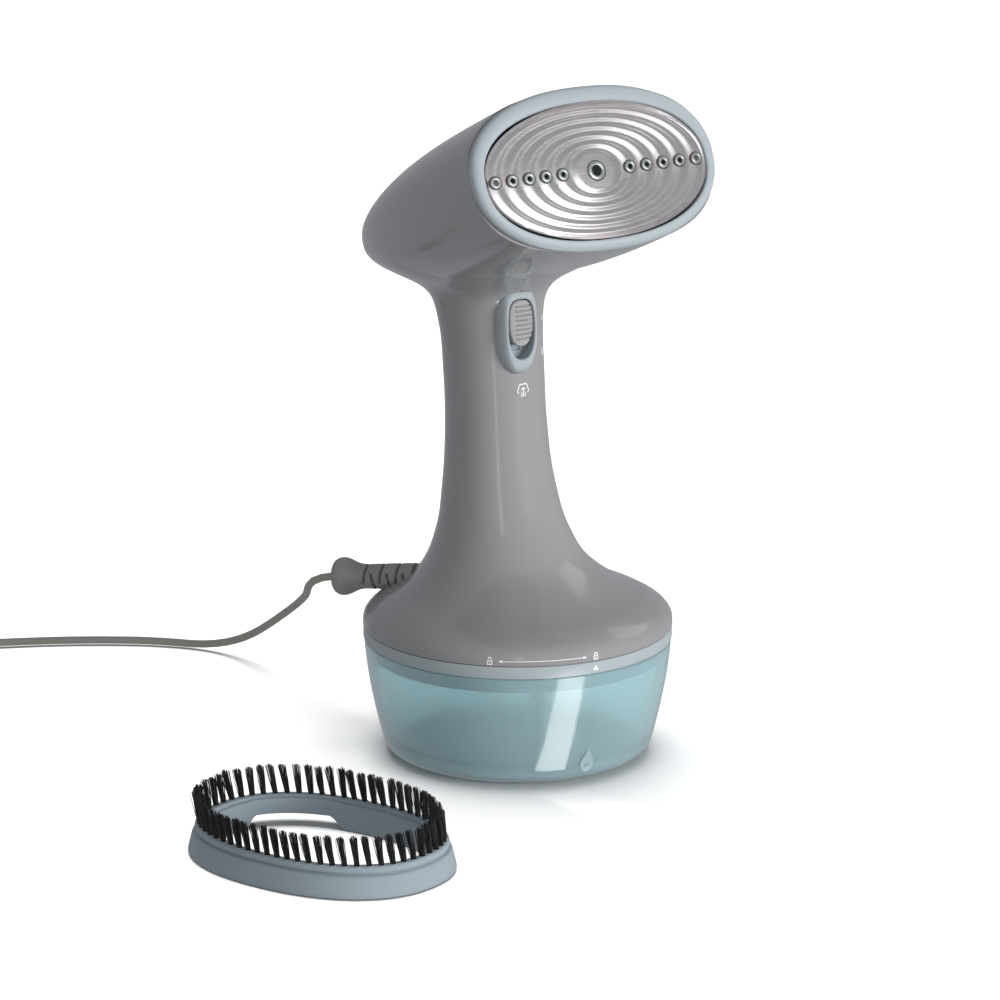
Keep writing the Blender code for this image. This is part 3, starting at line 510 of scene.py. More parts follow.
def make_plug(at):
    """Sleeve, grip and two blades of the plug, from the sleeve's open end."""
    turn = np.stack([PLUG_HEADING, np.cross((0.0, 0.0, 1.0), PLUG_HEADING), (0.0, 0.0, 1.0)], axis=1)
    sleeve = Shape()
    rings = [(1.9, 0.2), (2.9, 0.2)]
    for i in range(5):
        x, r = 1.2 + 2.8 * i, 3.1 + 0.26 * i
        rings += [(r, x), (r, x + 1.7), (r - 0.9, x + 1.9), (r - 0.9, x + 2.6)]
    rings += [(4.4, 15.3), (4.4, 15.7), (1.9, 15.7)]
    sleeve.skin([[(x, y, z) for z, y, x in loop] for loop in lathe(rings, 40)], ring=True)
    plug_sleeve = sleeve.turned_to(turn, at).make("plug_relief", CORD, "steamer", "cord_grey",
                                                  ("plug_sleeve",), 30.0)
    body = Shape()
    sections = [(16.0, 0.0, 0.0), (16.0, 5.2, 4.9), (17.0, 6.6, 5.6), (21.0, 9.2, 6.8),
                (27.0, 11.6, 7.9), (33.0, 12.7, 8.25), (34.0, 12.1, 7.8), (35.0, 12.1, 7.8),
                (36.0, 12.8, 8.25), (37.0, 12.2, 7.8), (38.0, 12.2, 7.8), (39.0, 12.9, 8.25),
                (44.6, 12.95, 8.28), (45.7, 12.6, 7.9), (46.0, 11.8, 7.2), (46.0, 0.0, 0.0)]
    body.skin([[(x, y, z) for y, z, _ in oval(max(b, 0.01), max(h, 0.01), power=2.9, count=56)]
               for x, b, h in sections], first=False, last=False)
    plug_body = body.turned_to(turn, at).make("plug_grip", CORD, "steamer", "cord_grey",
                                              ("plug_body",), 40.0)
    blades = []
    for name, offset, height in (("plug_blade_narrow", 6.35, 6.3), ("plug_blade_wide", -6.35, 7.9)):
        blade = Shape()
        outline = rounded([(46.3, -height / 2), (63.3, -height / 2 + 0.7), (63.3, height / 2 - 0.7),
                           (46.3, height / 2)], 0.8, 3)
        hole = [(59.8 + 1.5 * math.cos(TAU * i / len(outline) - 2.4),
                 1.5 * math.sin(TAU * i / len(outline) - 2.4)) for i in range(len(outline))]
        rings = [[(x, offset + side, z) for x, z in line]
                 for line, side in ((outline, -0.75), (outline, 0.75), (hole, 0.75), (hole, -0.75))]
        blade.skin(rings, ring=True)
        blades.append(blade.turned_to(turn, at).make(name.replace("plug_", "contact_"), BRASS, "steamer",
                                                     "brass", (name,), 30.0))
    return [plug_sleeve, plug_body, *blades]


make_cord()


# ------------------------------------------------------------------ housing
FACE_AT = np.array([0.0, -63.9, 261.0])
FACE_TILT, HEAD_END_TILT = math.radians(24.4), math.radians(18.1)
FACE_TURN = turn_x(math.pi / 2.0 - FACE_TILT)
HEAD_LENGTH, HEAD_HALF, HEAD_POWER = 159.0, (55.6, 33.0), 2.6
HEAD_START = FACE_AT + np.array([0.0, math.cos(FACE_TILT), -math.sin(FACE_TILT)]) * 3.0
NECK_TOP, HOUSING_BLEND = 211.0, 9.0
RIM_Z = 55.3
TRIGGER_AT = np.array([0.0, 0.4, 178.0])
TRIGGER_TURN = turn_x(math.pi / 2.0 - math.radians(4.0))
COVER_Y, COVER_Z, COVER_HALF, COVER_LEAN = 35.1, 135.5, 51.5, math.radians(-4.0)
COVER_SCREWS = [(0.0, 38.6, 150.0), (15.0, 34.4, 92.0), (-15.0, 34.4, 92.0)]
RELIEF_ROOT = np.array([0.0, 0.0, 74.2])
RELIEF_AXIS = np.array([-0.626, 0.773, -0.101]) / np.linalg.norm([-0.626, 0.773, -0.101])
NECK = [(55.3, 0, 65.0), (59.5, 0, 64.3), (62, 0, 62.2), (65.5, 0.5, 56.4), (70, 3, 46.6),
        (78, 8.7, 36.3), (92, 12.6, 28.4), (112, 16.1, 23.8), (138, 18.5, 21.4), (160, 20.4, 21.2),
        (180, 22.9, 21.9), (191, 25, 24), (200, 26, 29.5), (208, 27, 38)]


def neck_table():
    """Height, how far back the neck's centre is, radius and slope, softened above the skirt."""
    z = np.arange(48.0, 236.0, 0.05)
    values = through(NECK, z)
    bell = np.exp(-0.5 * (np.arange(-200, 201) * 0.05 / 2.2) ** 2)
    bell /= bell.sum()
    padded = np.pad(values, ((200, 200), (0, 0)), mode="edge")
    soft = np.stack([np.convolve(padded[:, k], bell, mode="valid") for k in (0, 1)], axis=1)
    share = np.clip((z - 67.0) / 8.0, 0.0, 1.0)[:, None]
    values = values * (1.0 - share) + soft * share
    return z, values[:, 0], values[:, 1], np.gradient(values[:, 1], z)


NECK_TABLE = neck_table()


def neck_at(z):
    """How far back the neck's centre is at height z, and its radius there."""
    return tuple(float(np.interp(z, NECK_TABLE[0], NECK_TABLE[k])) for k in (1, 2))


def neck_field(p):
    """How far a point is outside the neck and skirt."""
    z, back, radius, slope = NECK_TABLE
    b, r, d = (np.interp(p[:, 2], z, column) for column in (back, radius, slope))
    side = (np.hypot(p[:, 0], p[:, 1] - b) - r) / np.sqrt(1.0 + d * d)
    return np.maximum(side, p[:, 2] - NECK_TOP)


def head_half(t):
    """Half width and half height of the head at share t of its length."""
    return HEAD_HALF[0] * (1.0 - t**2.06) ** 0.30, HEAD_HALF[1] * (1.0 - t**2.88) ** 0.737


def head_field(p):
    """How far a point is outside the head's section through it."""
    y, z = p[:, 1] - HEAD_START[1], p[:, 2] - HEAD_START[2]
    s = (y * math.cos(FACE_TILT) - z * math.sin(FACE_TILT)) / HEAD_LENGTH
    for _ in range(6):
        tilt = FACE_TILT * (1 - s) + HEAD_END_TILT * s
        lie = (FACE_TILT + tilt) / 2.0
        gap_y, gap_z = y - HEAD_LENGTH * s * np.cos(lie), z + HEAD_LENGTH * s * np.sin(lie)
        s = s + (gap_y * np.cos(tilt) - gap_z * np.sin(tilt)) / HEAD_LENGTH
    up = gap_y * np.sin(tilt) + gap_z * np.cos(tilt) - 1.5 * (1.0 - s)
    half_x, half_y = head_half(np.clip(s, 0.0, 0.9995))
    reach = np.hypot(p[:, 0], up) + 1e-6
    share = (np.abs(p[:, 0] / half_x) ** HEAD_POWER
             + np.abs(up / half_y) ** HEAD_POWER) ** (1.0 / HEAD_POWER) + 1e-9
    return reach - reach / share + np.maximum(s - 1.0, 0.0) * HEAD_LENGTH


def housing_field(p):
    a, b = neck_field(p), head_field(p)
    h = np.maximum(HOUSING_BLEND - np.abs(a - b), 0.0) / HOUSING_BLEND
    return np.minimum(a, b) - h * h * HOUSING_BLEND / 4.0


def housing_slope(p):
    step = 0.04
    return np.stack([(housing_field(p + step * e) - housing_field(p - step * e)) / (2.0 * step)
                     for e in np.eye(3)], axis=1)


def onto_housing(p, rounds):
    """Moves points along the slope onto the housing's surface."""
    for _ in range(rounds):
        value, slope = housing_field(p), housing_slope(p)
        step = value[:, None] * slope / np.maximum((slope**2).sum(axis=1), 1e-6)[:, None]
        size = np.linalg.norm(step, axis=1, keepdims=True)
        p = p - step * np.minimum(1.0, 1.5 / np.maximum(size, 1e-9))
    return p


def head_loop(s):
    """Outline of the head at share s of its length."""
    tilt = FACE_TILT * (1 - s) + HEAD_END_TILT * s
    lie = (FACE_TILT + tilt) / 2.0
    centre = HEAD_START + np.array([0.0, math.cos(lie), -math.sin(lie)]) * HEAD_LENGTH * s
    half_x, half_y = head_half(max(s, 0.0))
    up = np.array([0.0, math.sin(tilt), math.cos(tilt)])
    return [centre + np.array([x, 0.0, 0.0]) + up * (y + 1.5 * (1.0 - s))
            for x, y, _ in oval(half_x, half_y, power=HEAD_POWER)]


def housing_skin():
    """Points and quads of the whole outer skin: a voxel skin over both lofts, drawn onto the field."""
    rough = Shape()
    levels = np.concatenate([np.arange(47.0, 68.0, 1.5), np.arange(69.0, 208.1, 3.0)])
    neck_loops = []
    for level in levels:
        back, radius = neck_at(level)
        neck_loops.append([(x, y + back, level) for x, y, _ in oval(radius, radius, count=120)])
    rough.skin(neck_loops)
    head_levels = [-0.05] + list(np.linspace(0.0, 0.96, 40)) + [0.975, 0.985, 0.992, 0.996]
    rough.skin([head_loop(s) for s in head_levels])
    data = bpy.data.meshes.new("rough_skin")
    data.from_pydata([tuple(c * MM for c in p) for p in rough.points], [], rough.faces)
    both = bmesh.new()
    both.from_mesh(data)
    bmesh.ops.recalc_face_normals(both, faces=both.faces)
    both.to_mesh(data)
    both.free()
    holder = placed("rough_skin", data)
    remesh = holder.modifiers.new("voxels", "REMESH")
    remesh.mode = "VOXEL"
    remesh.voxel_size = 1.3 * MM
    made = bpy.data.meshes.new_from_object(
        holder.evaluated_get(bpy.context.evaluated_depsgraph_get()))
    points = np.array([v.co for v in made.vertices], float) / MM
    faces = [tuple(f.vertices) for f in made.polygons]
    edges = np.array([tuple(e.vertices) for e in made.edges])
    bpy.data.objects.remove(holder, do_unlink=True)

    count = np.zeros(len(points))
    np.add.at(count, edges[:, 0], 1.0)
    np.add.at(count, edges[:, 1], 1.0)
    points = onto_housing(points, 4)
    for _ in range(6):
        total = np.zeros_like(points)
        np.add.at(total, edges[:, 0], points[edges[:, 1]])
        np.add.at(total, edges[:, 1], points[edges[:, 0]])
        normal = housing_slope(points)
        normal /= np.linalg.norm(normal, axis=1, keepdims=True) + 1e-9
        move = total / count[:, None] - points
        move -= (move * normal).sum(axis=1, keepdims=True) * normal
        points = onto_housing(points + 0.5 * move, 2)
    return points, faces


def cut_plane(shape, at, normal, drop=False):
    geometry = shape.verts[:] + shape.edges[:] + shape.faces[:]
    bmesh.ops.bisect_plane(shape, geom=geometry, plane_co=Vector(at), plane_no=Vector(normal),
                           clear_outer=drop, dist=1e-5)


def middles(shape):
    return np.array([f.calc_center_median() for f in shape.faces])


def drop_faces(shape, mask):
    doomed = [f for f, out in zip(shape.faces[:], mask) if out]
    bmesh.ops.delete(shape, geom=doomed, context="FACES")


def corners_all(shape, inside):
    """Faces with every corner inside, by a test on an array of points."""
    flag = inside(np.array([v.co for v in shape.verts]))
    shape.verts.index_update()
    return [all(flag[v.index] for v in f.verts) for f in shape.faces]


def in_trigger(p):
    local = (p - TRIGGER_AT) @ TRIGGER_TURN
    return ((np.abs(local[:, 0] / 8.2) ** 3 + np.abs((local[:, 1] - 3.2) / 16.8) ** 3 < 1.0)
            & (local[:, 2] > -12.0))


def in_relief(p):
    off = p - RELIEF_ROOT
    along = off @ RELIEF_AXIS
    return (np.linalg.norm(off - along[:, None] * RELIEF_AXIS, axis=1) < 5.2) & (along > 25.0)


def skin_piece(name, shape, replaces):
    """Open skin with its edges rolled in, and its smooth normals taken from the field."""
    shape.verts.index_update()
    shape.verts.ensure_lookup_table()
    points = [np.array(v.co) for v in shape.verts]
    faces = [tuple(v.index for v in f.verts) for f in shape.faces]
    slope = housing_slope(np.array(points))
    normals = list(slope / (np.linalg.norm(slope, axis=1, keepdims=True) + 1e-9))
    rolled = {}

    def ring(i, outward):
        if i not in rolled:
            n, base = normals[i], len(points)
            for out, deep, lean in ((0.10, 0.05, 0.35), (0.16, 0.22, 0.85), (0.16, 2.2, 1.0)):
                points.append(points[i] + outward * out - n * deep)
                mixed = n * (1.0 - lean) + outward * lean
                normals.append(mixed / np.linalg.norm(mixed))
            rolled[i] = base
        return rolled[i]

    leaning = {}
    rims = [e for e in shape.edges if len(e.link_faces) == 1]
    for e in rims:
        face = e.link_faces[0]
        a, b = e.verts
        along = np.array(b.co - a.co)
        side = np.cross(along, normals[a.index])
        side /= np.linalg.norm(side) + 1e-12
        if side @ (np.array(e.verts[0].co) - np.array(face.calc_center_median())) < 0.0:
            side = -side
        for v in (a, b):
            leaning[v.index] = leaning.get(v.index, 0.0) + side
    for e in rims:
        face = e.link_faces[0]
        order = [v.index for v in face.verts]
        a, b = e.verts[0].index, e.verts[1].index
        if order[(order.index(a) + 1) % len(order)] != b:
            a, b = b, a
        low = []
        for i in (a, b):
            outward = leaning[i] / (np.linalg.norm(leaning[i]) + 1e-12)
            low.append(ring(i, outward))
        for k in range(3):
            top = (a, b) if k == 0 else (low[0] + k - 1, low[1] + k - 1)
            faces.append((top[1], top[0], low[0] + k, low[1] + k))
    data = bpy.data.meshes.new(name)
    data.from_pydata([tuple(c * MM for c in p) for p in points], [], faces)
    data.shade_smooth()
    data.normals_split_custom_set_from_vertices([tuple(n) for n in normals])
    data.materials.append(SHELL)
    return riding(placed(name, data), "steamer", replaces)


def snap_hole(shape, axis_x, axis_z, radius, edge):
    """Moves the skin's corners near a screw hole onto its circle."""
    for v in shape.verts:
        if v.co.y < 20.0:
            continue
        x, z = v.co.x - axis_x, v.co.z - axis_z
        far = math.hypot(x, z)
        if abs(far - radius) < edge and far > 1e-6:
            v.co.x, v.co.z = axis_x + x / far * radius, axis_z + z / far * radius


def make_housing():
    points, faces = housing_skin()
    front = np.array([0.0, -math.cos(FACE_TILT), math.sin(FACE_TILT)])
    whole = bmesh.new()
    verts = [whole.verts.new(Vector(p)) for p in points]
    for face in faces:
        whole.faces.new([verts[i] for i in face])
    cut_plane(whole, (0.0, 0.0, RIM_Z + 0.16), (0.0, 0.0, -1.0), True)
    cut_plane(whole, tuple(FACE_AT - front * 4.0), tuple(front), True)
    drop_faces(whole, corners_all(whole, in_trigger))
    drop_faces(whole, corners_all(whole, in_relief))

    c, s = math.cos(COVER_LEAN), math.sin(COVER_LEAN)
    out_y, out_z = np.array([0.0, c, s]), np.array([0.0, -s, c])
    at = np.array([0.0, COVER_Y, COVER_Z])
    for gap in (-0.3, 0.3):
        cut_plane(whole, at + out_y * gap, out_y)
        cut_plane(whole, at + out_z * (COVER_HALF + gap), out_z)
        cut_plane(whole, at - out_z * (COVER_HALF + gap), out_z)
    centres = middles(whole)
    y, z = (centres - at) @ out_y, (centres - at) @ out_z
    low = centres[:, 2] < 205.0
    cover = (y > 0.3) & (np.abs(z) < COVER_HALF - 0.3) & low
    main = ((y < -0.3) | (np.abs(z) > COVER_HALF + 0.3)) | ~low
    other = whole.copy()
    drop_faces(whole, ~main)
    drop_faces(other, ~cover)
    edge = 0.62
    for x, _, z_at in COVER_SCREWS:
        snap_hole(other, x, z_at, 2.75, edge)
        drop_faces(other, corners_all(other, lambda p: np.hypot(p[:, 0] - x, p[:, 2] - z_at) < 2.76))
    skin_piece("housing", whole, ("front_shell",))
    skin_piece("neck_cover", other, ("rear_cover",))
    whole.free()
    other.free()


def make_screw(name, at, turn, node):
    """Pan-head screw with a cross recess; its head's underside is at z 0 of its own frame."""
    rings, steps = [], 48
    top = [0.0, 0.35, 0.7, 1.05, 1.4, 1.75, 2.1, 2.35, 2.5]
    for r in reversed(top[1:]):
        z = 0.72 + 0.9 * math.sqrt(max(0.0, 1.0 - (r / 2.75) ** 2))
        loop = []
        for i in range(steps):
            a = TAU * i / steps
            x, y = r * math.cos(a), r * math.sin(a)
            slot = max(min(1.0, (0.42 - abs(x)) / 0.1) * min(1.0, (1.5 - abs(y)) / 0.25),
                       min(1.0, (0.42 - abs(y)) / 0.1) * min(1.0, (1.5 - abs(x)) / 0.25), 0.0)
            loop.append((x, y, z - 0.85 * slot))
        rings.append(loop)
    under = [[(r * math.cos(TAU * i / steps), r * math.sin(TAU * i / steps), z)
              for i in range(steps)]
             for r, z in ((2.5, 0.1), (2.4, 0.0), (1.25, 0.0), (1.25, -8.5), (0.4, -10.0))]
    shape = Shape().skin(list(reversed(rings)) + under)
    shape.turned_to(turn, at).make(name, ZINC, "steamer", "zinc_screw", (node,), 30.0)


def make_cover_screws():
    out = turn_x(-math.pi / 2.0)
    for i, (x, y, z) in enumerate(COVER_SCREWS):
        make_screw(f"neck_screw_{i + 1}", (x, y + 0.3, z), out, f"cover_screw_{i + 1}")
        seat = Shape().skin(lathe([(2.75, 1.9), (2.75, -0.1), (1.4, -0.1), (1.4, -1.6), (3.6, -1.6),
                                   (3.6, 0.4)], 40), ring=True)
        seat.turned_to(out, (x, y - 0.3, z)).make(f"screw_seat_{i + 1}", SHELL, "steamer", "grey_shell")


make_housing()
make_cover_screws()


# ------------------------------------------------------------------ steam face
def on_face(shape):
    return shape.turned_to(FACE_TURN, FACE_AT)


def make_bezel():
    section = [(54.3, 32.1, -9.2, 1.5), (54.3, 32.1, -3.9, 1.5), (55.5, 33.4, -3.75, 1.5),
               (55.9, 33.8, -3.4, 1.5), (56.0, 33.9, -2.7, 1.5), (55.9, 33.75, -1.9, 1.5),
               (55.6, 33.4, -1.2, 1.45), (55.1, 32.85, -0.6, 1.4), (54.4, 32.1, -0.1, 1.25),
               (53.6, 31.2, 0.25, 1.1), (52.8, 30.3, 0.42, 0.9), (52.1, 29.5, 0.45, 0.65),
               (51.55, 28.9, 0.32, 0.45), (51.15, 28.4, 0.0, 0.25), (50.92, 28.1, -0.5, 0.05),
               (50.85, 27.95, -2.0, 0.0), (50.85, 27.95, -9.0, 0.0)]
    loops = [oval(a, b, z, up, 2.25, 160) for a, b, z, up in section]
    on_face(Shape().skin(loops, ring=True)).make("head_bezel", TRIM, "steamer", "pale_blue_trim",
                                                 ("face_bezel",), 50.0)


PLATE_POWER, NOZZLE_STEP, PLATE_RIM = 2.1, 7.77, 6.42


def ripple(x, y):
    """Which ring of the plate a point is on: 0 in the middle, 6.5 at the rim."""
    low, high = np.zeros_like(x), np.full_like(x, 9.0)
    for _ in range(40):
        k = (low + high) / 2.0
        a = NOZZLE_STEP * k + 1e-6
        b = np.where(k < 1.0, 7.5 * k, 3.95 + 3.55 * k) + 1e-6
        outside = (np.abs(x) / a) ** PLATE_POWER + (np.abs(y) / b) ** PLATE_POWER > 1.0
        low, high = np.where(outside, k, low), np.where(outside, high, k)
    return (low + high) / 2.0


def plate_height(x, y):
    """Flat middle, a wave to each ring, and a raised rim."""
    k = ripple(x, y)
    wave = np.where(k < 1.0, 1.0, np.cos(TAU * k))
    deep = 0.30 + 0.08 * np.clip((k - 1.0) / 4.0, 0.0, 1.0)
    z = -0.55 + deep * wave
    return np.where(k > PLATE_RIM, z + (k - PLATE_RIM) * 7.0, z)


def crest(x):
    """Height of the plate where a nozzle stands on its middle line."""
    return float(plate_height(np.array([x]), np.zeros(1))[0])


def nozzle_list():
    names = ["centre_nozzle"] + [f"nozzle_{side}_{i + 1}" for side in ("left", "right")
                                 for i in range(5)]
    places = [0.0] + [way * NOZZLE_STEP * k for way in (-1.0, 1.0) for k in range(2, 7)]
    return list(zip(names, places))


def make_plate():
    holes = [(x, 3.0 if name == "centre_nozzle" else 1.7) for name, x in nozzle_list()]
    across, along = 150, 300
    shares = np.linspace(0.0, 1.0, across + 1)[1:]
    angles = np.arange(along) * TAU / along
    c, s = np.cos(angles), np.sin(angles)
    ex = np.sign(c) * np.abs(c) ** (2.0 / PLATE_POWER) * 50.7
    ey = np.sign(s) * np.abs(s) ** (2.0 / PLATE_POWER) * 27.8
    x, y = shares[:, None] * ex, shares[:, None] * ey
    z = plate_height(x.ravel(), y.ravel()).reshape(x.shape)
    points = [(0.0, 0.0, crest(0.0))]
    points += [(a, b, d) for a, b, d in zip(x.ravel(), y.ravel(), z.ravel())]
    faces = []

    def keep(ids):
        mx = sum(points[i][0] for i in ids) / len(ids)
        my = sum(points[i][1] for i in ids) / len(ids)
        return all(math.hypot(mx - hx, my) > hr for hx, hr in holes)

    for i in range(along):
        j = (i + 1) % along
        face = (0, 1 + i, 1 + j)
        if keep(face):
            faces.append(face)
        for r in range(across - 1):
            a, b = 1 + r * along, 1 + (r + 1) * along
            face = (a + i, b + i, b + j, a + j)
            if keep(face):
                faces.append(face)
    last = 1 + (across - 1) * along
    rim = len(points)
    for drop, grow in ((0.25, 0.12), (1.6, 0.12)):
        for i in range(along):
            px, py, pz = points[last + i]
            points.append((px * (1 + grow / 50.4), py * (1 + grow / 27.5), pz - drop))
    for r in range(2):
        a = last if r == 0 else rim
        b = rim + r * along
        for i in range(along):
            j = (i + 1) % along
            faces.append((a + i, b + i, b + j, a + j))
    shape = Shape().put(points, faces)
    on_face(shape).make("rippled_plate", STEEL, "steamer", "bright_steel", ("steam_plate",), 60.0)


def make_nozzles():
    """Eyelets, dark rings round them that paint the shadow at their edges, and a dark sheet behind their
    bores that paints the shade inside them.
    """
    for name, x in nozzle_list():
        top = crest(x)
        if name == "centre_nozzle":
            ring = [(3.85, top - 0.3), (3.85, top + 0.25), (3.55, top + 0.6), (3.0, top + 0.78),
                    (2.5, top + 0.7), (2.25, top + 0.45), (2.1, top + 0.05), (2.0, top - 1.0),
                    (2.0, -4.2), (3.2, -4.2), (3.2, top - 0.5)]
        else:
            ring = [(2.4, top - 0.3), (2.4, top + 0.35), (2.22, top + 0.72), (1.9, top + 0.88),
                    (1.5, top + 0.86), (1.2, top + 0.7), (1.02, top + 0.4), (0.92, top - 0.2),
                    (0.9, -4.0), (1.9, -4.0), (1.9, top - 0.5)]
        eyelet = Shape().skin(lathe(ring, 48, (x, 0.0)), ring=True)
        on_face(eyelet).make(name + "_eyelet", EYELET, "steamer", "bright_steel", (name,), 40.0)
    # Thin dark rings just outside each eyelet: painted shadow along its edge.
    shadow_rings = Shape()
    for name, x in nozzle_list():
        top = crest(x)
        inner, outer = (3.75, 4.4) if name == "centre_nozzle" else (2.3, 2.85)
        edge = [(inner, top - 0.9), (outer, top - 0.9), (outer, top - 0.02), (inner, top + 0.12)]
        shadow_rings.skin(lathe(edge, 40, (x, 0.0)), ring=True)
    on_face(shadow_rings).make("nozzle_gaskets", DARK, "steamer", "dark_plastic", (), 40.0)
    # Near-black sheet behind the plate: painted shade inside the bores.
    plug = Shape().skin([oval(49.0, 26.2, z, power=PLATE_POWER, count=80) for z in (-4.4, -4.2)])
    on_face(plug).make("chamber_floor", DARK, "steamer", "dark_plastic", (), 40.0)


make_bezel()
make_plate()
make_nozzles()


# ------------------------------------------------------------------ trigger
def at_trigger(shape):
    return shape.turned_to(TRIGGER_TURN, TRIGGER_AT)


def make_trigger():
    section = [(8.9, 19.0, 3.2, -4.6), (8.9, 19.0, 3.2, -1.2), (8.75, 18.8, 3.2, 0.4),
               (8.4, 18.2, 3.2, 1.7), (7.9, 17.3, 3.2, 2.8), (7.35, 16.1, 3.3, 3.6),
               (6.9, 14.9, 3.4, 4.0), (6.5, 13.85, 3.5, 4.15), (6.25, 13.1, 3.6, 4.0),
               (6.1, 12.7, 3.6, 3.6), (6.05, 12.6, 3.6, 2.8), (6.05, 12.6, 3.6, -4.6)]
    loops = [oval(a, b, z, up, 3.4, 112, 2.3) for a, b, up, z in section]
    at_trigger(Shape().skin(loops, ring=True)).make("trigger_frame", TRIM, "steamer",
                                                    "pale_blue_trim", ("trigger_bezel",), 50.0)
    well = Shape()
    well.skin([oval(7.4, 14.6, z, 2.6, 3.2, 64) for z in (-2.7, -1.9)], first=True, last=False)
    outer = oval(7.4, 14.6, -1.9, 2.6, 3.2, 64)
    slot_line = oval(2.3, 6.2, -1.9, rise=0.2, power=6.0, count=64)
    dip = oval(2.3, 6.2, -2.6, rise=0.2, power=6.0, count=64)
    well.skin([outer, slot_line, dip], first=False, last=True)
    # The recess floor is in the trim's darker copy: painted shade.
    at_trigger(well).make("trigger_well", PAINTED_SHADE_TRIM, "steamer", "dark_plastic")

    pad = Shape()
    low = [oval(5.6 - t, 9.75 - t, z, 6.15, 3.0, 96, 2.2) for t, z in
           ((0.35, 1.0), (0.0, 1.3), (0.0, 3.0), (0.12, 3.5), (0.4, 3.85))]
    pad.skin(low, last=False)
    rows, edge, previous = 44, low[-1], len(pad.points) - 96
    for r in range(1, rows + 1):
        share = 1.0 - r / rows
        loop = []
        for x, y, _ in edge:
            px, py = x * share, 6.15 + (y - 6.15) * share
            crown = 3.85 + 0.75 * (1.0 - share**4)
            inside = (clamp((px + 3.5) / 0.5) * clamp((5.0 - px) / 0.5)
                      * clamp((py + 1.5) / 0.5) * clamp((14.2 - py) / 0.5))
            groove = max(0.0, math.cos(TAU * (py + 0.3) / 1.95)) ** 1.5
            loop.append((px, py, crown - 0.95 * groove * inside))
        begin = len(pad.points)
        if r < rows:
            pad.points += loop
            for i in range(96):
                j = (i + 1) % 96
                pad.faces.append((previous + i, previous + j, begin + j, begin + i))
            previous = begin
        else:
            pad.points.append(loop[0])
            for i in range(96):
                pad.faces.append((previous + i, previous + (i + 1) % 96, begin))
    pad.block((4.0, 4.0, 15.0), (0.0, 2.2, -6.2), 0.3)
    pad.block((3.6, 9.6, 1.2), (0.0, 5.4, -13.5), 0.2)
    at_trigger(pad).make("trigger_pad", PAD, "trigger", "grey_pad", ("trigger",), 45.0)


make_trigger()


# ------------------------------------------------------------------ tank and collar
def tank_radius(z):
    """Outer radius of the tank's wall at a height."""
    return 64.4 - 9.4 * ((49.3 - z) / 49.3) ** 1.5


def lugs(shape, inner, outer, low, high):
    """Three bayonet lugs, the first at the front."""
    for k in range(3):
        middle, spread = math.radians(-90.0) + TAU * k / 3.0, math.radians(31.0)
        angles = [middle - spread / 2.0 + spread * i / 12 for i in range(13)]
        outline = [(outer * math.cos(a), outer * math.sin(a)) for a in angles]
        outline += [(inner * math.cos(a), inner * math.sin(a)) for a in reversed(angles)]
        shape.skin([[(x, y, z) for x, y in outline] for z in (low, high)])


def make_collar():
    outline = rounded([(64.8, 54.9), (64.8, 49.6), (53.7, 49.6), (53.7, 54.9)], 0.55, 3)
    shape = Shape().skin(lathe(outline, 180), ring=True)
    lugs(shape, 50.4, 55.0, 49.9, 52.6)
    shape.make("collar_ring", TRIM, "tank", "pale_blue_trim", ("tank_collar",), 40.0)
    skirt = rounded([(60.9, 49.62), (60.9, 42.9), (59.0, 42.9), (59.0, 49.62)], 0.3, 3)
    # The skirt is in the trim's darker copy: painted shade for the band seen through the tank.
    Shape().skin(lathe(skirt, 180), ring=True).make("collar_skirt", PAINTED_SHADE_TRIM, "tank", "pale_blue_trim",
                                                    (), 40.0)


def make_tank():
    outside = [(tank_radius(z), z) for z in
               (49.1, 47.0, 44.0, 41.0, 38.0, 35.0, 32.0, 29.0, 26.0, 23.0, 20.0, 17.0, 14.0,
                11.5, 9.0, 7.0, 5.4)]
    foot = [(55.9, 4.3), (55.0, 3.1), (53.6, 2.0), (51.8, 1.15), (49.6, 0.5), (47.2, 0.12),
            (45.0, 0.0), (44.0, 0.35), (42.5, 0.62), (30.0, 0.75), (15.0, 0.8), (0.2, 0.8)]
    inside = [(0.2, 2.6), (20.0, 2.6), (38.0, 2.7), (46.0, 2.85), (49.5, 3.3), (51.6, 4.2),
              (52.9, 5.6), (53.8, 7.6)]
    inside += [(tank_radius(z) - 2.2, z) for z in
               (10.0, 13.0, 16.0, 20.0, 24.0, 28.0, 32.0, 36.0, 40.0, 44.0, 47.0, 48.9)]
    inside += [(62.5, 49.3), (64.1, 49.3)]
    Shape().skin(lathe(outside + foot + inside, 200), ring=True).make(
        "water_tank", TANK, "tank", "teal_tank", ("tank",), 50.0)


def tank_point(angle, up, out):
    """Point of the tank's wall: turned from the front by angle, at a height, standing out."""
    r = tank_radius(up) + out
    return (r * math.sin(angle), -r * math.cos(angle), up)


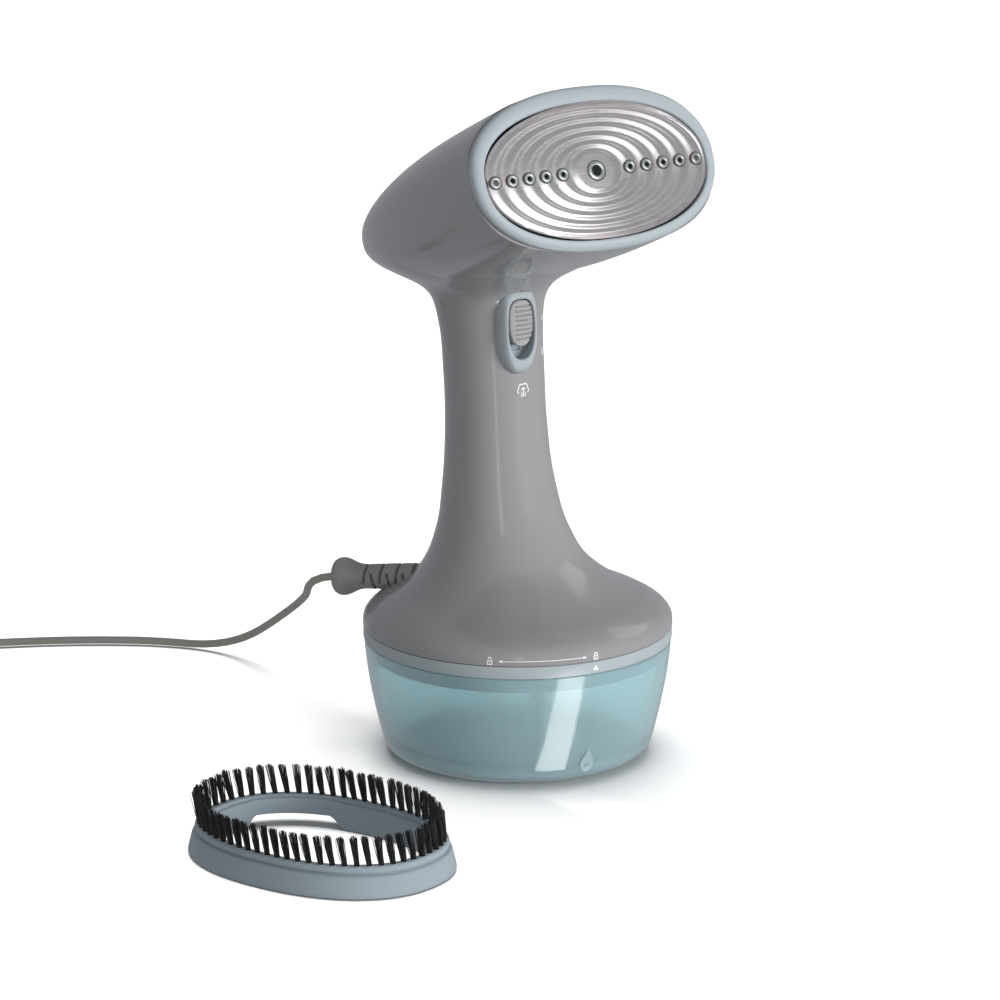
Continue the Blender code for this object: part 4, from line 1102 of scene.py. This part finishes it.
def make_drop():
    outline = []
    for i in range(48):
        a = TAU * i / 48
        swell = (1.0 + math.cos(a)) / 2.0
        x = 3.55 * math.sin(a) * (1.0 - 0.72 * swell**2.2)
        z = 9.4 + 4.6 * math.cos(a) + 1.2 * swell**3
        outline.append((x, z))
    middle = (0.0, 8.6)
    loops = []
    for share, out in ((1.0, -0.25), (1.0, 0.25), (0.95, 0.55), (0.86, 0.78), (0.74, 0.82),
                       (0.66, 0.62), (0.6, 0.5), (0.35, 0.5), (0.02, 0.5)):
        loops.append([tank_point((middle[0] + (x - middle[0]) * share) / 56.0,
                                 middle[1] + (z - middle[1]) * share, out) for x, z in outline])
    Shape().skin(loops).make("drop_mark", DROP, "tank", "teal_tank", (), 50.0)
    loops = []
    for r, out in ((1.15, 0.4), (1.15, 0.85), (0.95, 0.98), (0.7, 0.95), (0.6, 0.8), (0.6, 0.45)):
        loops.append([tank_point(r * math.cos(a) / 56.0, 8.3 + r * math.sin(a) * 0.8, out)
                      for a in (TAU * i / 32 for i in range(32))])
    Shape().skin(loops, ring=True).make("drop_ring", DROP, "tank", "teal_tank", (), 50.0)


def make_pickup():
    dip = [(0.0, 0.0, 49.6), (0.0, -0.4, 44.0), (0.0, -8.0, 33.0), (0.0, -21.0, 24.0),
           (0.0, -24.0, 17.0), (0.0, -24.0, 13.5)]
    curve_piece("pickup_pipe", curve_through(dip, 1.2), 2.4, SILICONE, "steamer",
                ("pickup_hose",), 6)
    ring = rounded([(0.3, 3.2), (6.4, 3.2), (6.4, 11.0), (4.2, 13.0), (0.3, 13.0)], 0.5, 3)
    ribs = []
    for r, z in ring:
        loop = []
        for i in range(96):
            a = TAU * i / 96
            slot = 0.55 if r > 5.5 and 4.4 < z < 10.4 and (i % 8) < 3 else 0.0
            loop.append(((r - slot) * math.cos(a), (r - slot) * math.sin(a) - 24.0, z))
        ribs.append(loop)
    ribs_fine = []
    for first, second in zip(ribs, ribs[1:]):
        ribs_fine.append(first)
        gap = abs(first[0][2] - second[0][2])
        if gap > 3.0:
            for t in (0.08, 0.12, 0.5, 0.88, 0.92):
                z = first[0][2] * (1 - t) + second[0][2] * t
                deep = 0.12 <= t <= 0.88
                loop = []
                for i in range(96):
                    a = TAU * i / 96
                    r = 6.4 - (0.8 if deep and (i % 8) < 3 else 0.0)
                    loop.append((r * math.cos(a), r * math.sin(a) - 24.0, z))
                ribs_fine.append(loop)
    ribs_fine.append(ribs[-1])
    Shape().skin(ribs_fine).make("pickup_strainer", TRIM, "steamer", "pale_blue_trim",
                                 ("pickup_filter",), 30.0)


make_collar()
make_tank()
make_drop()
make_pickup()


# ------------------------------------------------------------------ strain relief
def make_relief():
    stations = [(83.0, 5.6), (82.75, 6.5), (82.2, 7.2), (81.3, 7.75), (80.0, 8.08), (78.6, 8.1),
                (77.2, 7.8), (75.4, 7.05), (73.6, 6.25), (72.0, 5.68), (70.5, 5.38), (69.0, 5.27),
                (64.0, 5.35), (56.0, 5.6), (46.0, 5.8), (38.0, 5.8)]
    stations.reverse()
    across = 112
    rows = np.concatenate([np.arange(40.0, 69.0, 0.22), np.arange(69.0, 82.0, 0.6),
                           [82.2, 82.5, 82.75, 82.9, 83.0]])
    table = np.array(stations)
    radii = np.interp(rows, table[:, 0], table[:, 1])
    up = np.array([0.0, 0.0, 1.0]) - RELIEF_AXIS * RELIEF_AXIS[2]
    up /= np.linalg.norm(up)
    side = np.cross(RELIEF_AXIS, up)
    slots = [(67.5 - 7.4 * i, 90.0) for i in range(4)] + [(63.85 - 7.4 * i, -90.0) for i in range(4)]
    loops = []
    for t, r in zip(rows, radii):
        loop = []
        for i in range(across):
            a = TAU * i / across
            degrees = math.degrees(a)
            deep = 0.0
            for where, facing in slots:
                away = abs((degrees - facing + 180.0) % 360.0 - 180.0)
                curve = 0.000087 * away**2
                near = 1.0 - clamp((abs(t - where - curve) - 0.42) / 0.24)
                ends = 1.0 - clamp((away - 112.0) / 7.0)
                deep = max(deep, near * ends)
            radius = r - 1.7 * deep
            loop.append(RELIEF_ROOT + RELIEF_AXIS * t
                        + side * radius * math.cos(a) + up * radius * math.sin(a))
        loops.append(loop)
    for t, r in ((83.05, 4.6), (82.8, 3.4), (82.0, 2.6), (80.0, 2.3)):
        loops.append([RELIEF_ROOT + RELIEF_AXIS * t + side * r * math.cos(TAU * i / across)
                      + up * r * math.sin(TAU * i / across) for i in range(across)])
    Shape().skin(loops).make("cord_relief", RELIEF, "steamer", "relief_grey", ("strain_relief",), 45.0)


make_relief()


# ------------------------------------------------------------------ brush attachment
BRUSH_AT = np.array([-139.2, -86.8, 0.0])
BRUSH_TURN = turn_z(math.radians(-66.0))
FOOT_HALF, TUFT_HALF = (57.0, 42.4), (52.6, 38.0)
BRUSH_TOP, TUFT_LENGTH, BRUSH_POWER = 12.5, 12.5, 2.25
TUFTS, BRISTLES, GOLDEN_ANGLE = 60, 34, 2.39996
SOCKET = [(1.0, -0.3), (1.0, 0.03), (1.35, 0.12), (1.55, 0.02), (1.55, -0.3)]
ARCH_FROM, ARCH_TO, ARCH_EASE, ARCH_RISE = 104.0, 166.0, 9.0, 5.0


def at_brush(shape):
    return shape.turned_to(BRUSH_TURN, BRUSH_AT)


def arched(loop):
    """Lifts the foot of the ring between the arch's two angles, in degrees."""
    made = []
    for i, (x, y, z) in enumerate(loop):
        angle = 360.0 * i / len(loop)
        share = clamp(min(angle - ARCH_FROM, ARCH_TO - angle) / ARCH_EASE)
        lift = ARCH_RISE * share * share * (3.0 - 2.0 * share)
        made.append((x, y, z + lift * (1.0 - z / BRUSH_TOP)))
    return made


def make_brush_frame():
    foot, tuft, h = FOOT_HALF, TUFT_HALF, BRUSH_TOP
    section = [(foot, -1.2, 0.0), (foot, -0.3, 0.2), (foot, 0.0, 0.9), (foot, -0.35, 2.6),
               (foot, -0.95, 5.2), (foot, -1.4, 7.2), (foot, -1.75, 8.2), (foot, -2.25, 8.75),
               (foot, -2.9, 8.95), (tuft, 1.15, 9.0), (tuft, 0.95, 9.2), (tuft, 1.15, 9.55),
               (tuft, 1.65, 9.95), (tuft, 1.75, 10.6), (tuft, 1.6, h - 0.9), (tuft, 1.1, h - 0.25),
               (tuft, 0.3, h), (tuft, -1.9, h), (tuft, -2.4, h - 0.2), (tuft, -2.6, h - 0.7),
               (tuft, -2.7, h - 1.3), (tuft, -3.3, h - 1.55), (tuft, -4.1, h - 1.7),
               (tuft, -4.4, h - 2.2), (tuft, -4.5, 7.6), (tuft, -4.5, 0.5), (tuft, -4.3, 0.05),
               (tuft, -3.6, 0.05), (tuft, -3.3, 0.6), (tuft, -3.2, 6.4), (foot, -4.4, 6.9),
               (foot, -2.9, 5.8), (foot, -2.3, 2.8), (foot, -2.1, 0.3)]
    loops = [arched(oval(half[0] + out, half[1] + out, z, power=BRUSH_POWER, count=192))
             for half, out, z in section]
    at_brush(Shape().skin(loops, ring=True)).make("brush_body", BRUSH_TRIM, "brush", "pale_blue_trim",
                                                  ("brush_frame",), 45.0)


def make_brush_clips():
    """Clip pads that grip the steam face's rim, one on each end of the window."""
    fa = FOOT_HALF[0]
    for name, node, way in (("brush_hook", "brush_clip_left", -1.0),
                            ("brush_catch", "brush_clip_right", 1.0)):
        clip = Shape()
        profile = rounded([(0.0, 0.5), (1.7, 0.5), (1.7, 4.6), (2.7, 5.1), (2.7, 5.7), (0.0, 5.7)],
                          0.3, 2)
        loops = [[(way * (fa - 6.5 + x), y, z) for x, z in profile] for y in
                 (-4.4, -4.1, -2.0, 0.0, 2.0, 4.1, 4.4)]
        clip.skin(loops)
        at_brush(clip).make(name, BRUSH_TRIM, "brush", "pale_blue_trim", (node,), 40.0)


def make_tufts():
    """Tufts of splayed bristles along the ring, each in a raised socket."""
    line = np.array(oval(TUFT_HALF[0] - 0.3, TUFT_HALF[1] - 0.3, power=BRUSH_POWER, count=2400))
    line = np.vstack([line, line[:1]])
    run = np.concatenate([[0.0], np.cumsum(np.linalg.norm(np.diff(line, axis=0), axis=1))])
    lean_way = BRUSH_TURN.T @ PLUG_HEADING
    shape, sockets = Shape(), Shape()
    for k in range(TUFTS):
        at = run[-1] * (k + 0.5) / TUFTS
        root = np.array([np.interp(at, run, line[:, c]) for c in range(3)])
        ahead = np.array([np.interp((at + 0.5) % run[-1], run, line[:, c]) for c in range(3)])
        sockets.skin(lathe([(r, BRUSH_TOP + z) for r, z in SOCKET], 16, (root[0], root[1])), ring=True)
        along = (ahead - root) / np.linalg.norm(ahead - root)
        across = np.array([along[1], -along[0], 0.0])
        tilt = lean_way * (0.15 + chance.uniform(-0.05, 0.05)) + across * chance.uniform(0.0, 0.05)
        length = TUFT_LENGTH * chance.uniform(0.95, 1.0)
        for b in range(BRISTLES):
            far, turn = math.sqrt((b + 0.5) / BRISTLES), b * GOLDEN_ANGLE
            dx, dy = far * math.cos(turn), far * math.sin(turn)
            base = root + (along * dx + across * dy) * 1.05
            splay = chance.uniform(1.45, 1.95)
            top = root + (along * dx + across * dy) * splay + tilt * length
            top = top + np.array([chance.uniform(-0.25, 0.25), chance.uniform(-0.25, 0.25), 0.0])
            high = BRUSH_TOP + length * (1.0 - 0.06 * far * far + chance.uniform(-0.055, 0.02))
            bend = np.array([chance.uniform(-0.25, 0.25), chance.uniform(-0.25, 0.25), 0.0])
            loops = []
            for t, r in ((0.0, 0.17), (0.5, 0.16), (1.0, 0.12)):
                centre = base * (1.0 - t) + top * t + bend * math.sin(math.pi * t)
                z = BRUSH_TOP - 0.25 + (high - BRUSH_TOP) * t
                loops.append([(centre[0] + r * math.cos(q + turn), centre[1] + r * math.sin(q + turn),
                               z + 0.25 * t) for q in (0.0, TAU / 4, TAU / 2, TAU * 3 / 4)])
            shape.skin(loops, first=False)
    at_brush(shape).make("bristle_tufts", BRISTLE, "brush", "bristle_black", ("bristle_ring",), 60.0)
    at_brush(sockets).make("tuft_sockets", BRUSH_TRIM, "brush", "pale_blue_trim", (), 50.0)


make_brush_frame()
make_brush_clips()
make_tufts()


# ------------------------------------------------------------------ printed marks
def ribbon(shape, line, width, place, closed=False):
    """Flat strip along a line of (across, up), put on a surface by place(across, up)."""
    line = [np.array(p, float) for p in line]
    count, left, right = len(line), [], []
    for i, here in enumerate(line):
        before = line[i - 1] if closed or i else here
        after = line[(i + 1) % count] if closed or i < count - 1 else here
        along = after - before
        along /= np.linalg.norm(along) + 1e-9
        side = np.array([-along[1], along[0]]) * width / 2.0
        left.append(place(*(here + side)))
        right.append(place(*(here - side)))
    faces = [(i, (i + 1) % count, count + (i + 1) % count, count + i)
             for i in range(count if closed else count - 1)]
    return shape.put(left + right, faces)


def filled(shape, outline, place):
    """Filled outline that every line from its middle leaves just once."""
    middle = np.mean(np.array(outline, float), axis=0)
    points = [place(*middle)] + [place(*(middle + (np.array(p) - middle) * 0.5)) for p in outline]
    points += [place(*p) for p in outline]
    count = len(outline)
    faces = []
    for i in range(count):
        j = (i + 1) % count
        faces += [(0, 1 + i, 1 + j), (1 + i, 1 + count + i, 1 + count + j, 1 + j)]
    return shape.put(points, faces)


def arc(x, y, rx, ry, start, end, count=14):
    """Points along an ellipse from one angle to another, in degrees."""
    return [(x + rx * math.cos(math.radians(a)), y + ry * math.sin(math.radians(a)))
            for a in np.linspace(start, end, count)]


def on_rim(middle):
    """Places a mark on the band round the skirt, turned from the front by middle degrees."""
    def place(across, up):
        z = 57.35 + up
        r = neck_at(z)[1] + 0.07
        a = math.radians(middle) + across / 64.6
        return (r * math.sin(a), -r * math.cos(a), z)
    return place


def on_neck(middle, height):
    """Places a mark on the neck, turned from the front by middle degrees, round a height."""
    def place(across, up):
        z = height + up
        back, r = neck_at(z)
        a = math.radians(middle) + across / r
        return ((r + 0.07) * math.sin(a), back - (r + 0.07) * math.cos(a), z)
    return place


def on_collar(across, up):
    """Places a mark on the front of the tank's collar."""
    a = across / 64.8
    return (64.87 * math.sin(a), -64.87 * math.cos(a), 52.3 + up)


def padlock(shape, place, is_open):
    body = [(-0.85, -1.45), (0.85, -1.45), (0.95, -1.35), (0.95, 0.05), (0.85, 0.15),
            (-0.85, 0.15), (-0.95, 0.05), (-0.95, -1.35)]
    ribbon(shape, body, 0.34, place, True)
    filled(shape, arc(0.0, -0.65, 0.34, 0.34, 0, 345, 12), place)
    if is_open:
        hoop = [(0.62, 0.2), (0.62, 0.9)] + arc(0.0, 0.95, 0.62, 0.6, 0, 180) + [(-0.62, 0.75)]
    else:
        hoop = [(0.62, 0.2), (0.62, 0.8)] + arc(0.0, 0.85, 0.62, 0.6, 0, 180) + [(-0.62, 0.2)]
    ribbon(shape, hoop, 0.34, place)


def printed(shape, name, body):
    shape.make(name, PRINT, body, None, (), None)


def make_marks():
    marks = Shape()
    padlock(marks, on_rim(-39.8), True)
    padlock(marks, on_rim(0.0), False)
    span = np.linspace(-40.6, -4.8, 40)
    ribbon(marks, [(x, 0.0) for x in span], 0.26, on_rim(0.0))
    for x, way in ((-41.4, -1.0), (-4.0, 1.0)):
        filled(marks, [(x, 0.0), (x - way * 1.9, 0.62), (x - way * 1.5, 0.0), (x - way * 1.9, -0.62)],
               on_rim(0.0))
    printed(marks, "lock_marks", "steamer")

    steam = Shape()
    place = on_neck(5.2, 155.6)
    cloud = (arc(-1.75, -0.5, 1.0, 1.05, 250, 110, 10) + arc(-0.95, 1.1, 1.2, 1.15, 175, 70, 10)
             + arc(0.95, 1.1, 1.2, 1.15, 110, 5, 10) + arc(1.75, -0.5, 1.0, 1.05, 70, -70, 10))
    ribbon(steam, cloud, 0.34, place)
    ribbon(steam, [(0.0, -3.1), (0.0, 0.6)], 0.34, place)
    ribbon(steam, [(-0.95, -0.15), (-0.45, 0.3), (0.0, 0.8), (0.45, 0.3), (0.95, -0.15)], 0.34, place)
    for side in (-1.0, 1.0):
        ribbon(steam, [(side * 0.85, -3.1), (side * 0.85, -1.1)], 0.3, place)
    printed(steam, "steam_mark", "steamer")

    notes = Shape()
    place = on_neck(46.0, 182.5)
    ribbon(notes, arc(0.0, 0.0, 0.9, 0.9, 0, 345, 20), 0.34, place, True)
    ribbon(notes, [(0.0, -0.1), (0.0, 1.5)], 0.34, place)
    padlock(notes, on_neck(46.0, 168.8), False)
    printed(notes, "trigger_marks", "steamer")

    pointer = Shape()
    filled(pointer, [(-1.4, -1.05), (0.0, -1.0), (1.4, -1.05), (0.0, 1.1)], on_collar)
    printed(pointer, "collar_mark", "tank")


make_marks()


# ------------------------------------------------------------------ parts carried over
FINISHES = {
    "bright_steel": STEEL, "cast_alloy": ALLOY, "silicone": SILICONE, "dark_plastic": DARK,
    "copper_winding": COPPER, "zinc_screw": ZINC, "pale_blue_trim": TRIM, "grey_pad": PAD,
}
for row in frame["record"]["subparts"]:
    node = frame["nodes"][row["node"]]
    if node.hide_render:
        continue
    finish = FINISHES[row["material_slot"]]
    if "spring" in node.name:
        finish = SPRING
    for slot_number in range(max(1, len(node.material_slots))):
        if node.material_slots:
            node.material_slots[slot_number].material = finish
        else:
            node.data.materials.append(finish)


# ------------------------------------------------------------------ floor and light
def sheet(name, corners, surface):
    """Flat quad, its corners in metres."""
    data = bpy.data.meshes.new(name)
    data.from_pydata(corners, [], [(0, 1, 2, 3)])
    data.materials.append(surface)
    return placed(name, data)


def make_floor():
    n = Nodes("floor_white")
    n.to("Base Color", n.ramp(n.noise(2.0, 2.0), [(0.3, (0.60, 0.60, 0.60)),
                                                   (0.7, (0.62, 0.62, 0.62))]))
    n.set(Roughness=0.9, Specular_IOR_Level=0.1)
    far, level = 9.0, -0.0005
    floor = sheet("floor", [(-far, -far, level), (far, -far, level), (far, far, level),
                            (-far, far, level)], n.material)
    floor.visible_diffuse = floor.visible_glossy = False
    return floor


def make_card():
    """Bright card flat on the floor, for the band that it leaves in the tank's wall."""
    n = Nodes("light_card")
    n.set(Roughness=1.0, Emission_Strength=6.5)
    n.to("Emission Color", n.ramp(n.noise(8.0, 1.0), [(0.3, (0.97, 0.98, 1.0)),
                                                      (0.7, (1.0, 1.0, 1.0))]))
    card = sheet("light_card", [(-0.0235, -0.060, 0.0), (-0.0075, -0.063, 0.0),
                                (0.058, -0.215, 0.0), (-0.008, -0.235, 0.0)], n.material)
    card.visible_camera = card.visible_diffuse = card.visible_transmission = False
    card.visible_shadow = False


def light_from(name, kind, azimuth, elevation, only):
    """Light from a direction, for every piece or, where given, for only those."""
    made = placed(name, bpy.data.lights.new(name, kind))
    look_along(made, -direction(azimuth, elevation))
    if only:
        group = bpy.data.collections.new(name + "_receivers")
        for one in only:
            group.objects.link(one)
        made.light_linking.receiver_collection = group
    return made


def area_light(name, azimuth, elevation, distance, width, height, power, aim, only=None):
    """Softbox round the point it aims at, there for its reflection alone."""
    made = light_from(name, "AREA", azimuth, elevation, only)
    made.data.shape = "RECTANGLE"
    made.data.size, made.data.size_y = width, height
    made.data.energy = power
    made.location = Vector(aim) + direction(azimuth, elevation) * distance
    made.visible_camera = made.visible_diffuse = False


def sun_light(name, azimuth, elevation, strength, angle, only=None):
    """Wide, even light that shapes the tones but leaves no reflection of itself."""
    made = light_from(name, "SUN", azimuth, elevation, only)
    made.data.energy, made.data.angle = strength, math.radians(angle)
    made.visible_glossy = False


def make_light(floor):
    world = bpy.data.worlds.new("studio")
    bpy.context.scene.world = world
    world.use_nodes = True
    world.node_tree.nodes["Background"].inputs["Color"].default_value = (0.93, 0.96, 1.0, 1.0)
    world.node_tree.nodes["Background"].inputs["Strength"].default_value = 0.40
    sun_light("overhead", 155.0, 84.0, 5.3, 40.0, [floor])
    sun_light("key", 28.0, 6.0, 4.0, 30.0)
    sun_light("fill", -28.0, 12.0, 0.62, 60.0)
    face = [one for one in bpy.data.objects if one.name.endswith("_eyelet")
            or one.name in ("rippled_plate", "head_bezel", "nozzle_gaskets")]
    area_light("face_box", 1.0, 12.0, 0.13, 0.13, 0.12, 0.095, (-0.006, -0.064, 0.228), face)
    area_light("rim_box", 98.0, 40.0, 1.4, 0.7, 0.5, 1.0, (0.0, 0.0, 0.08))
    area_light("neck_strip", -28.0, 13.0, 1.5, 0.11, 1.1, 0.8, (0.0, 0.0, 0.14))
    make_card()
    bpy.context.scene.view_settings.view_transform = "Standard"


make_light(make_floor())
